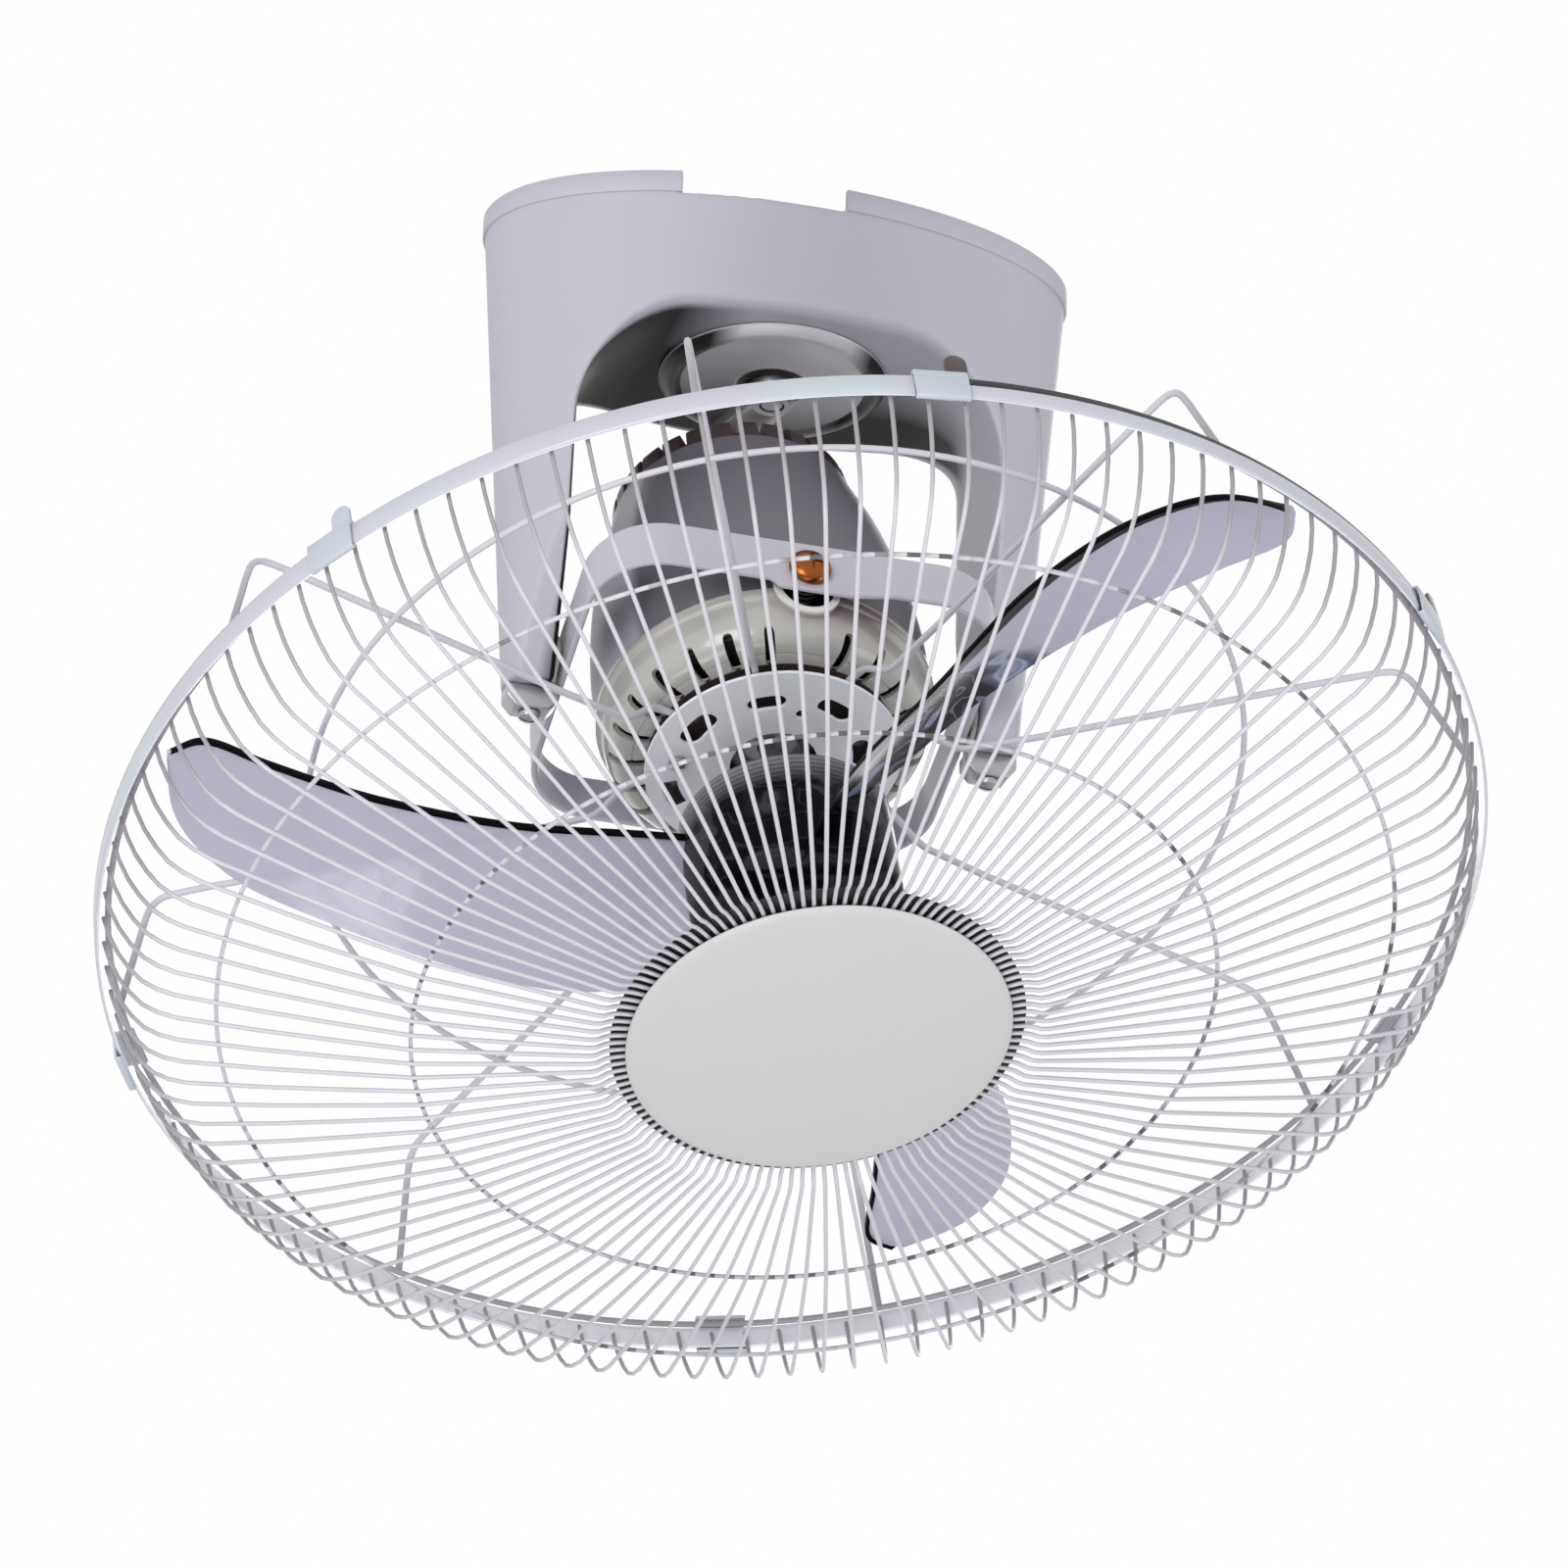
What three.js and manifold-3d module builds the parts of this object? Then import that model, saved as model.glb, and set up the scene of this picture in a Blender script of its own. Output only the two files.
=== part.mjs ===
// Orbital ceiling fan, 16 inch class, as an assembly of separate pieces.
// Millimetres, +Z up. The origin is the middle of the face that lies against the ceiling.
// X runs along the canopy's long axis, through both gimbal pivots; -Y is the front.
// The head hangs in a gimbal: the ring tilts about X, the head tilts about the ring's
// front-to-back axis, and a crank under the canopy leads the head's rear end round a circle.
import * as THREE from 'three';
import { mergeGeometries, mergeVertices } from 'three/addons/utils/BufferGeometryUtils.js';
import Module from 'manifold-3d';

const wasm = await Module();
wasm.setup();

// ---------------------------------------------------------------- driving dimensions
const GAP = 0.3; // clearance between pieces that touch

const RIM_A = 99; // canopy rim, half length
const RIM_B = 49.8; // canopy rim, half depth
const RIM_HEIGHT = 7.8; // raised band round the rim
const RIM_STEP = 0.8; // how far the wall is set back under the band
const WALL_TAPER_A = 0.078; // the canopy narrows by this much per mm of height
const WALL_TAPER_B = 0.06;
const WALL = 2.4; // canopy wall
const UNDERSIDE = -46.2; // lower face of the canopy between its arms
const ARM_BOTTOM = -177;
const ARM_INNER_TOP = 70.6; // half width between the arms, at the arch and at their ends
const ARM_INNER_BOTTOM = 70.2;
const ARCH_LIP = { out: 2, deep: 7 }; // soft rounding where the arch meets the canopy's wall
const NOTCH = { from: -43.8, to: 11.1 }; // cable notch in the front rim

const PIVOT_Z = -162.8; // centre of the gimbal
const ORBIT_TILT = 18.3; // the head leans this many degrees off the vertical
const ORBIT_AZIMUTH = 13.8; // where the lean points at rest, degrees from the front

const RING_X = 67.4; // gimbal ring, outer half width
const RING_Y = 59.6; // gimbal ring, outer half depth
const RING_CORNER = 24;
const RING_THICK = 2;
const RING_HALF_HEIGHT = 9;
const LUG_BOTTOM = 11.8; // the ring reaches down this far round each tilt pin
const PIVOT_PIN_R = 4;
const PIN_DROP = -3; // the tilt pins sit this far below the ring's middle

const MOTOR_R = 54;
const SEAM_Z = -6; // joint between the motor's front and rear covers
const MOTOR_FRONT_Z = -26;
const MOTOR_REAR_Z = 87;
const MOTOR_REAR_R = 34;
const MOTOR_WALL = 2;
const VENT_STEPS = 24; // slot positions round the front cover; the two at the pins stay closed
const REAR_VENTS = 16;
const STUD_END = 103.8; // tip of the drive stud, from the gimbal's centre
const CRANK_CLEARANCE = 0.8; // the linkage is open here

const SHAFT_R = 4;
const HUB_R = 34;
const HUB_REAR_Z = -60;
const HUB_FRONT_Z = -103;
const BLADE_COUNT = 3;
const BLADE_THICK = 2;
const BLADE_TIP_R = 204;

const HOOP_R = 220; // guard, outer radius
const HOOP_FRONT_Z = -91;
const HOOP_WIDTH = 8.5;
const HOOP_THICK = 1.3;
const WIRE_COUNT = 120;
const WIRE_R = 0.95;
const WIRE_PHASE = 1.6; // azimuth of the first front wire
const CROSS_RING_R = 0.65; // wire of the rings behind the front wires
const REAR_RING_R = 1;
const SPOKE_COUNT = 8;
const SPOKE_R = 1.5;
const SPOKE_PLANE_Z = -40;
const CAP_R = 60.4;
const CAP_Z = -149.6;
const CLIP_AZIMUTHS = [267.6, 216, 318.2, 151.8, 11.6, 81.7];

const rad = THREE.MathUtils.degToRad;

// The head leans towards -Y and +X: split its lean into the two gimbal angles.
const lean = new THREE.Vector3(
  Math.sin(rad(ORBIT_TILT)) * Math.sin(rad(ORBIT_AZIMUTH)),
  -Math.sin(rad(ORBIT_TILT)) * Math.cos(rad(ORBIT_AZIMUTH)),
  -Math.cos(rad(ORBIT_TILT)),
);
const RING_ANGLE = -Math.atan2(-lean.y, -lean.z);
const HEAD_ANGLE = -Math.asin(lean.x);

// ---------------------------------------------------------------- finishes
function finish(color, roughness, metalness, opacity = 1) {
  return { color, roughness, metalness, opacity, transparent: opacity < 1 };
}

const FINISH = {
  canopy: finish(0xc3c2ca, 0.45, 0),
  canopyDark: finish(0x9a98a2, 0.5, 0),
  steel: finish(0xb9bbc0, 0.35, 0.9),
  zinc: finish(0xa8a49a, 0.4, 0.8),
  brass: finish(0xb07a3c, 0.3, 0.9),
  ring: finish(0xd2d2d6, 0.4, 0.1),
  motorFront: finish(0xc9c7c2, 0.45, 0.1),
  motorRear: finish(0x8d8b92, 0.5, 0.1),
  core: finish(0x55575c, 0.6, 0.7),
  winding: finish(0x9a5a2c, 0.45, 0.6),
  plate: finish(0xd9dde4, 0.4, 0.1),
  guard: finish(0xe2e2e8, 0.35, 0.1),
  cap: finish(0xc8c8ca, 0.45, 0),
  blade: finish(0x9aa0c0, 0.12, 0, 0.75),
  black: finish(0x26262a, 0.5, 0),
  nylon: finish(0xe6e2d6, 0.5, 0),
};

// ---------------------------------------------------------------- mesh helpers
function signedVolume(geometry) {
  const p = geometry.attributes.position;
  const index = geometry.index;
  const [a, b, c] = [new THREE.Vector3(), new THREE.Vector3(), new THREE.Vector3()];
  let volume = 0;
  for (let i = 0; i < index.count; i += 3) {
    a.fromBufferAttribute(p, index.getX(i));
    b.fromBufferAttribute(p, index.getX(i + 1));
    c.fromBufferAttribute(p, index.getX(i + 2));
    volume += a.dot(b.cross(c)) / 6;
  }
  return volume;
}

/** Welds a geometry into a closed skin whose faces point out. */
function welded(source) {
  const geometry = source.clone();
  geometry.deleteAttribute('normal');
  geometry.deleteAttribute('uv');
  const skin = mergeVertices(geometry, 1e-4);
  if (signedVolume(skin) < 0) {
    const index = skin.index.array;
    for (let i = 0; i < index.length; i += 3) {
      [index[i], index[i + 1]] = [index[i + 1], index[i]];
    }
  }
  return skin;
}

function toSolid(geometry) {
  const skin = welded(geometry);
  const vertProperties = new Float32Array(skin.attributes.position.array);
  const triVerts = new Uint32Array(skin.index.array);
  return new wasm.Manifold(new wasm.Mesh({ numProp: 3, vertProperties, triVerts }));
}

function toGeometry(manifold) {
  const mesh = manifold.getMesh();
  const geometry = new THREE.BufferGeometry();
  geometry.setAttribute('position', new THREE.BufferAttribute(mesh.vertProperties, 3));
  geometry.setIndex(new THREE.BufferAttribute(mesh.triVerts, 1));
  geometry.computeVertexNormals();
  return geometry;
}

function subtract(body, ...tools) {
  return toGeometry(tools.reduce((left, tool) => left.subtract(toSolid(tool)), toSolid(body)));
}

function unite(...bodies) {
  return toGeometry(bodies.slice(1).reduce((sum, b) => sum.add(toSolid(b)), toSolid(bodies[0])));
}

/** Joins rings of equal point count into a closed solid, with a fan over each end. */
function loft(rings) {
  const count = rings[0].length;
  const positions = [];
  const index = [];
  for (const ring of rings) for (const p of ring) positions.push(p.x, p.y, p.z);
  for (let r = 0; r + 1 < rings.length; r += 1) {
    for (let i = 0; i < count; i += 1) {
      const j = (i + 1) % count;
      const [a, b, c, d] = [r * count + i, r * count + j, (r + 1) * count + j, (r + 1) * count + i];
      index.push(a, b, c, a, c, d);
    }
  }
  const capEnd = (ring, first, flip) => {
    const centre = ring.reduce((sum, p) => sum.add(p), new THREE.Vector3()).divideScalar(count);
    const hub = positions.length / 3;
    positions.push(centre.x, centre.y, centre.z);
    for (let i = 0; i < count; i += 1) {
      const edge = [first + i, first + ((i + 1) % count)];
      index.push(hub, edge[flip ? 1 : 0], edge[flip ? 0 : 1]);
    }
  };
  capEnd(rings[0], 0, true);
  capEnd(rings[rings.length - 1], (rings.length - 1) * count, false);
  const geometry = new THREE.BufferGeometry();
  geometry.setAttribute('position', new THREE.Float32BufferAttribute(positions, 3));
  geometry.setIndex(index);
  return welded(geometry);
}

/** Turns a closed outline of [radius, height] pairs round Z. */
function lathe(outline, segments) {
  const points = outline.map(([r, z]) => new THREE.Vector2(r, z));
  points.push(points[0].clone());
  return welded(new THREE.LatheGeometry(points, segments).rotateX(Math.PI / 2));
}

/** A plain disc or rod round Z between two heights. */
function rod(radius, low, high, segments = 20) {
  const geometry = new THREE.CylinderGeometry(radius, radius, high - low, segments);
  return geometry.rotateX(Math.PI / 2).translate(0, 0, (low + high) / 2);
}

/** A rod whose axis is X, Y or any direction, from one point to another. */
function rodBetween(from, to, radius, segments = 16) {
  const way = new THREE.Vector3().subVectors(to, from);
  const geometry = new THREE.CylinderGeometry(radius, radius, way.length(), segments);
  const turn = new THREE.Quaternion().setFromUnitVectors(
    new THREE.Vector3(0, 1, 0), way.clone().normalize());
  return geometry.applyQuaternion(turn).translate(
    (from.x + to.x) / 2, (from.y + to.y) / 2, (from.z + to.z) / 2);
}

function box(low, high) {
  const size = high.map((value, axis) => value - low[axis]);
  const middle = high.map((value, axis) => (value + low[axis]) / 2);
  return new THREE.BoxGeometry(...size).translate(...middle);
}

/** A tube of a few sides that follows a path lying in the plane of X and Z. */
function wireInPlane(path, radius, sides, phase = 0) {
  const rings = path.map(([x, z], i) => {
    const before = path[Math.max(i - 1, 0)];
    const after = path[Math.min(i + 1, path.length - 1)];
    const way = new THREE.Vector2(after[0] - before[0], after[1] - before[1]).normalize();
    return Array.from({ length: sides }, (_, k) => {
      const angle = phase + (2 * Math.PI * k) / sides;
      const across = radius * Math.cos(angle);
      return new THREE.Vector3(x - way.y * across, radius * Math.sin(angle), z + way.x * across);
    });
  });
  return loft(rings);
}

function torus(radius, wireRadius, z, sides, segments) {
  return new THREE.TorusGeometry(radius, wireRadius, sides, segments).translate(0, 0, z);
}

/** Copies of one geometry, equally spaced round Z, as a single geometry. */
function roundZ(geometry, count, offset = 0) {
  return mergeGeometries(Array.from({ length: count }, (_, i) =>
    welded(geometry).rotateZ(offset + (2 * Math.PI * i) / count)));
}

function roundedRectangle(halfX, halfY, corner) {
  const shape = new THREE.Shape();
  shape.moveTo(-halfX + corner, -halfY);
  shape.lineTo(halfX - corner, -halfY);
  shape.absarc(halfX - corner, -halfY + corner, corner, -Math.PI / 2, 0);
  shape.lineTo(halfX, halfY - corner);
  shape.absarc(halfX - corner, halfY - corner, corner, 0, Math.PI / 2);
  shape.lineTo(-halfX + corner, halfY);
  shape.absarc(-halfX + corner, halfY - corner, corner, Math.PI / 2, Math.PI);
  shape.lineTo(-halfX, -halfY + corner);
  shape.absarc(-halfX + corner, -halfY + corner, corner, Math.PI, 1.5 * Math.PI);
  return shape;
}

/** Extrudes a flat shape up Z between two heights. */
function slab(shape, low, high, curveSegments = 8) {
  const settings = { depth: high - low, bevelEnabled: false, curveSegments };
  return new THREE.ExtrudeGeometry(shape, settings).translate(0, 0, low);
}

// ---------------------------------------------------------------- assembly tree
const fan = new THREE.Group();
const gimbal = new THREE.Group();
gimbal.position.z = PIVOT_Z;
gimbal.rotation.x = RING_ANGLE;
const head = new THREE.Group();
head.rotation.y = HEAD_ANGLE;
fan.add(gimbal);
gimbal.add(head);

function add(parent, name, geometry, look) {
  const mesh = new THREE.Mesh(geometry, new THREE.MeshStandardMaterial(look));
  mesh.name = name;
  parent.add(mesh);
  return mesh;
}

// ---------------------------------------------------------------- canopy and its arms
const CANOPY_SEGMENTS = 44;

function canopyHalfSizes(z, inset = 0) {
  const below = Math.max(-z - RIM_HEIGHT, 0);
  const step = z > -RIM_HEIGHT ? 0 : RIM_STEP;
  return [
    RIM_A - step - WALL_TAPER_A * below - inset,
    RIM_B - step - WALL_TAPER_B * below - inset,
  ];
}

function ellipseRing(halfA, halfB, z, segments = CANOPY_SEGMENTS) {
  return Array.from({ length: segments }, (_, i) => {
    const angle = (2 * Math.PI * i) / segments;
    return new THREE.Vector3(halfA * Math.cos(angle), halfB * Math.sin(angle), z);
  });
}

/**
 * The outline between the arms, seen from the front, opened up by a margin. Its shoulders
 * are rounder at the front of the canopy (side -1) than at the rear (side 1).
 */
function archOutline(margin, side) {
  const [start, pull, fall, end] = side < 0 ? [38, 54, 18, 38] : [46, 62, 6, 20];
  const shoulder = new THREE.CubicBezierCurve(
    new THREE.Vector2(start, UNDERSIDE + margin),
    new THREE.Vector2(pull, UNDERSIDE + margin - 1),
    new THREE.Vector2(ARM_INNER_TOP + margin, UNDERSIDE - fall),
    new THREE.Vector2(ARM_INNER_TOP + margin, UNDERSIDE - end),
  ).getPoints(6);
  const foot = new THREE.Vector2(ARM_INNER_BOTTOM + margin, ARM_BOTTOM - 20);
  const middle = [20, 0, -20].map((x) => new THREE.Vector2(x, UNDERSIDE + margin));
  const right = [foot, ...shoulder.reverse()];
  const left = right.map((p) => new THREE.Vector2(-p.x, p.y)).reverse();
  return [...right, ...middle, ...left];
}

function archPassage() {
  const ring = (y, side) => archOutline(0, side).map((p) => new THREE.Vector3(p.x, y, p.y));
  return loft([ring(-66, -1), ring(-36, -1), ring(36, 1), ring(66, 1)]);
}

/** Rounds the arch's front and rear edges into the canopy's curved wall. */
function archFlare() {
  const steps = [0, 30, 60, 90].map((degrees) => [
    ARCH_LIP.out * (1 - Math.sin(rad(degrees))), ARCH_LIP.deep * (1 - Math.cos(rad(degrees)))]);
  steps.unshift([ARCH_LIP.out + 0.3, -4]);
  const ring = (margin, inset, side) => archOutline(margin, side).map((p) => {
    const [a, b] = canopyHalfSizes(Math.max(p.y, -110), inset);
    const depth = b * Math.sqrt(Math.max(1 - (p.x / a) ** 2, 0.02));
    return new THREE.Vector3(p.x, side * depth, p.y);
  });
  const front = steps.map(([margin, inset]) => ring(margin, inset, -1));
  const rear = steps.map(([margin, inset]) => ring(margin, inset, 1)).reverse();
  return loft([...front, ...rear]);
}

/** Wedges that narrow the arms, front and rear, towards their ends. */
function armTrimmers() {
  const edge = new THREE.CubicBezierCurve(
    new THREE.Vector2(48, -78),
    new THREE.Vector2(30, -90),
    new THREE.Vector2(22, -130),
    new THREE.Vector2(9, ARM_BOTTOM - 1),
  ).getPoints(8);
  const shape = new THREE.Shape([...edge, new THREE.Vector2(70, ARM_BOTTOM - 1), new THREE.Vector2(70, -78)]);
  const wedge = new THREE.ExtrudeGeometry(shape, { depth: 240, bevelEnabled: false })
    .translate(0, 0, -120)
    .applyMatrix4(new THREE.Matrix4().makeBasis(
      new THREE.Vector3(0, 1, 0), new THREE.Vector3(0, 0, 1), new THREE.Vector3(1, 0, 0)));
  return [wedge, wedge.clone().rotateZ(Math.PI)];
}

function canopyShell() {
  const heights = [0, -RIM_HEIGHT, -RIM_HEIGHT - 0.01, -40, -80, -120, -150, ARM_BOTTOM + 6];
  const rings = heights.map((z) => ellipseRing(...canopyHalfSizes(z), z));
  rings.push(ellipseRing(...canopyHalfSizes(ARM_BOTTOM, 5), ARM_BOTTOM));
  const floor = UNDERSIDE + WALL;
  const cavity = loft([
    ellipseRing(RIM_A - WALL, RIM_B - WALL, 1, 36),
    ellipseRing(...canopyHalfSizes(-RIM_HEIGHT, WALL), -RIM_HEIGHT, 36),
    ellipseRing(...canopyHalfSizes(floor + 5, WALL), floor + 5, 36),
    ellipseRing(...canopyHalfSizes(floor, WALL + 5), floor, 36),
  ]);
  const notch = box([NOTCH.from, -RIM_B - 5, -RIM_HEIGHT], [NOTCH.to, -RIM_B + 20, 5]);
  const shaftHole = rod(14, UNDERSIDE - 2, floor + 2, 20);
  const pivotBores = [-1, 1].map((side) => rodBetween(
    new THREE.Vector3(side * 60, 0, PIVOT_Z), new THREE.Vector3(side * 79.5, 0, PIVOT_Z), 7, 16));
  const capSeats = [-1, 1].map((side) => box(
    side < 0 ? [-90, -20, ARM_BOTTOM - 1] : [60, -20, ARM_BOTTOM - 1],
    side < 0 ? [-60, 20, ARM_BOTTOM + 3] : [90, 20, ARM_BOTTOM + 3]));
  return subtract(loft(rings), archPassage(), archFlare(), ...armTrimmers(), cavity, notch, shaftHole,
    ...pivotBores, ...capSeats);
}

// ---------------------------------------------------------------- inside the canopy
const PLATE_HALF_X = 80;
const PLATE_HALF_Y = 24;
const SCREW_X = 52; // ceiling screws and keyholes

function ceilingPlate() {
  const shape = roundedRectangle(PLATE_HALF_X, PLATE_HALF_Y, 10);
  for (const x of [-SCREW_X, SCREW_X]) {
    const slot = new THREE.Path();
    slot.absarc(x - 5, 0, 2.6, Math.PI / 2, 1.5 * Math.PI);
    slot.absarc(x + 5, 0, 2.6, -Math.PI / 2, Math.PI / 2);
    shape.holes.push(slot);
  }
  const cableHole = new THREE.Path();
  cableHole.absarc(26, 0, 8, 0, 2 * Math.PI);
  shape.holes.push(cableHole);
  const plate = slab(shape, -2, 0, 4);
  const tabs = [-1, 1].map((side) => box(
    [side * 62 - 9, PLATE_HALF_Y - 2, -16], [side * 62 + 9, PLATE_HALF_Y, -1]));
  return unite(plate, ...tabs);
}

/** Screws that pass through the canopy's rear wall into the plate's tabs. */
function canopyScrew(side) {
  const wallY = RIM_B * Math.sqrt(1 - (62 / RIM_A) ** 2);
  const at = (y) => new THREE.Vector3(side * 62, y, -12);
  return rodBetween(at(PLATE_HALF_Y + GAP), at(wallY - WALL - 4), 2.5, 10);
}

function gearmotor() {
  const can = rod(25, -35, -17, 28);
  const lid = rod(22, -17.5, -14, 28);
  const ears = slab(roundedRectangle(34, 6, 5.9), -36.8, -34.5, 4);
  return subtract(unite(can, lid, ears), rod(5.2, -40, -30, 12));
}

function capacitor() {
  return slab(roundedRectangle(18, 8, 7), -33, -9, 3).translate(-56, -13, 0);
}

function terminalBlock() {
  const body = box([40, -16, -30], [64, -6, -18]);
  const wells = [44, 52, 60].map((x) => rod(2, -24, -10, 8).translate(x, -11, 0));
  return subtract(body, ...wells);
}

function bossCover() {
  const top = UNDERSIDE - GAP;
  return lathe([[9, top], [37.4, top], [37.4, top - 0.8], [34, top - 3.2], [31.5, top - 3.2],
    [30.5, top - 2], [9, top - 2]], 28);
}

function buildCanopy() {
  add(fan, 'ceiling_plate', ceilingPlate(), FINISH.steel);
  add(fan, 'canopy_shell', canopyShell(), FINISH.canopy);
  add(fan, 'boss_cover', bossCover(), FINISH.canopy);
  add(fan, 'canopy_screw_left', canopyScrew(-1), FINISH.zinc);
  add(fan, 'canopy_screw_right', canopyScrew(1), FINISH.zinc);
  add(fan, 'orbit_gearmotor', gearmotor(), FINISH.steel);
  add(fan, 'run_capacitor', capacitor(), FINISH.black);
  add(fan, 'terminal_block', terminalBlock(), FINISH.nylon);
}

// ---------------------------------------------------------------- pivots in the arms
function pivotBush(side) {
  const outer = side * 79.2;
  const inner = side * (RING_X + 1.2);
  const sleeve = rodBetween(
    new THREE.Vector3(side * 70.5, 0, 0), new THREE.Vector3(outer, 0, 0), 6.7, 16);
  const collar = rodBetween(
    new THREE.Vector3(inner, 0, 0), new THREE.Vector3(side * 69.9, 0, 0), 9, 16);
  const neck = rodBetween(
    new THREE.Vector3(side * 69.5, 0, 0), new THREE.Vector3(side * 71, 0, 0), 6.7, 16);
  const bore = rodBetween(
    new THREE.Vector3(side * 60, 0, 0), new THREE.Vector3(side * 90, 0, 0), PIVOT_PIN_R + GAP, 16);
  return subtract(unite(sleeve, neck, collar), bore).translate(0, 0, PIVOT_Z);
}

/** Steel saddle that closes the end of an arm under its pivot. */
function pivotSaddle(side) {
  const section = new THREE.Shape([
    [-8.5, 0], [8.5, 0], [8.5, -4.5], [5.5, -8], [-5.5, -8], [-8.5, -4.5],
  ].map(([x, z]) => new THREE.Vector2(x, z)));
  const depth = 9;
  return new THREE.ExtrudeGeometry(section, { depth, bevelEnabled: false })
    .rotateX(Math.PI / 2)
    .translate(side * 76, depth / 2, ARM_BOTTOM + 3 - GAP);
}

function pivotScrew(side) {
  const top = ARM_BOTTOM + 3 - 8 - 2 * GAP;
  return lathe([[0, top], [3.6, top], [3.4, top - 1.6], [2, top - 2.6], [0, top - 2.8]], 14)
    .translate(side * 76, 0, 0);
}

function buildPivots() {
  for (const [side, label] of [[-1, 'left'], [1, 'right']]) {
    add(fan, `pivot_bush_${label}`, pivotBush(side), FINISH.nylon);
    add(fan, `pivot_saddle_${label}`, pivotSaddle(side), FINISH.zinc);
    add(fan, `pivot_screw_${label}`, pivotScrew(side), FINISH.steel);
  }
}

// ---------------------------------------------------------------- orbit crank
function buildCrank() {
  const crank = new THREE.Group();
  crank.rotation.z = rad(ORBIT_AZIMUTH);
  fan.add(crank);
  const reach = Math.sin(rad(ORBIT_TILT));
  const drop = Math.cos(rad(ORBIT_TILT));
  const alongAxis = (distance) => new THREE.Vector3(0, distance * reach, PIVOT_Z + distance * drop);
  const faceAt = STUD_END + CRANK_CLEARANCE;
  const barTop = UNDERSIDE - 5;
  const barBottom = barTop - 4;
  const bar = slab(roundedRectangle(7, 23.5, 6.9), barBottom, barTop, 5).translate(0, 16.5, 0);
  const hub = rod(7.6, barTop - 1, UNDERSIDE - 1, 20);
  const bossR = 7.5;
  const bossEnd = (barTop - bossR * reach - PIVOT_Z) / drop;
  const boss = rodBetween(alongAxis(faceAt), alongAxis(bossEnd), bossR, 20);
  const bore = rod(4.2, -60, -30, 16);
  add(crank, 'crank_arm', subtract(unite(bar, hub, boss), bore), FINISH.zinc);
  add(crank, 'crank_shaft', rod(3.9, barBottom - 1, -31, 16), FINISH.steel);
  add(crank, 'crank_shaft_clip', subtract(rod(6.4, barBottom - 1.4, barBottom - GAP, 18),
    rod(4.2, -70, -30, 16)), FINISH.zinc);
}

// ---------------------------------------------------------------- gimbal ring
function gimbalRing() {
  const shape = roundedRectangle(RING_X, RING_Y, RING_CORNER);
  const inner = roundedRectangle(
    RING_X - RING_THICK, RING_Y - RING_THICK, RING_CORNER - RING_THICK);
  shape.holes.push(new THREE.Path(inner.getPoints(6)));
  const band = slab(shape, -RING_HALF_HEIGHT, RING_HALF_HEIGHT, 6);
  const lugShape = roundedRectangle(12, 5, 3);
  const lugs = [-1, 1].map((side) => slab(lugShape, 0, RING_THICK, 3)
    .rotateX(side * Math.PI / 2)
    .translate(0, side > 0 ? RING_Y : -RING_Y, -LUG_BOTTOM + 5));
  const pinHoles = [-1, 1].map((side) => rodBetween(
    new THREE.Vector3(0, side * 40, PIN_DROP), new THREE.Vector3(0, side * 80, PIN_DROP), 3.3, 12));
  return subtract(unite(band, ...lugs), ...pinHoles);
}

function sidePin(side) {
  return rodBetween(new THREE.Vector3(side * (RING_X + GAP), 0, 0),
    new THREE.Vector3(side * 78.8, 0, 0), PIVOT_PIN_R, 16);
}

/** Headed pin that carries the motor in the ring, front and rear. */
function tiltPin(side) {
  const face = RING_Y + GAP;
  const profile = [[0, MOTOR_R - 9.6], [3, MOTOR_R - 9.6], [3, face], [6.4, face], [6.4, face + 1.2],
    [5.6, face + 2.6], [3.4, face + 3.8], [0, face + 4.3]];
  return lathe(profile, 14).rotateX(-side * Math.PI / 2).translate(0, 0, PIN_DROP);
}

const SPRING = { turns: 4, radius: 4.9, wire: 0.6, stepsPerTurn: 8, sides: 5 };

/** Middle line of the coil spring between the ring and the motor's socket. */
function springLine() {
  const start = MOTOR_R - 7;
  const length = RING_Y - RING_THICK - 1 - start;
  const steps = SPRING.turns * SPRING.stepsPerTurn;
  return Array.from({ length: steps + 1 }, (_, i) => {
    const angle = (2 * Math.PI * i) / SPRING.stepsPerTurn;
    return new THREE.Vector3(
      SPRING.radius * Math.cos(angle), start + (length * i) / steps, SPRING.radius * Math.sin(angle));
  });
}

/** Open coil spring round a tilt pin. */
function pinSpring(side) {
  const rings = springLine().map((point) => Array.from({ length: SPRING.sides }, (_, k) => {
    const around = (2 * Math.PI * k) / SPRING.sides;
    const grow = 1 + (SPRING.wire * Math.cos(around)) / SPRING.radius;
    return new THREE.Vector3(
      point.x * grow, side * (point.y + SPRING.wire * Math.sin(around)), point.z * grow + PIN_DROP);
  }));
  return loft(rings);
}

/** Least clear gap between the spring's turns, measured between points of its middle line. */
function springGap() {
  const line = springLine();
  const apart = SPRING.stepsPerTurn / 2;
  let least = Infinity;
  line.forEach((point, i) => line.slice(i + apart).forEach((other) => {
    least = Math.min(least, point.distanceTo(other) - 2 * SPRING.wire);
  }));
  return least;
}

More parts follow.
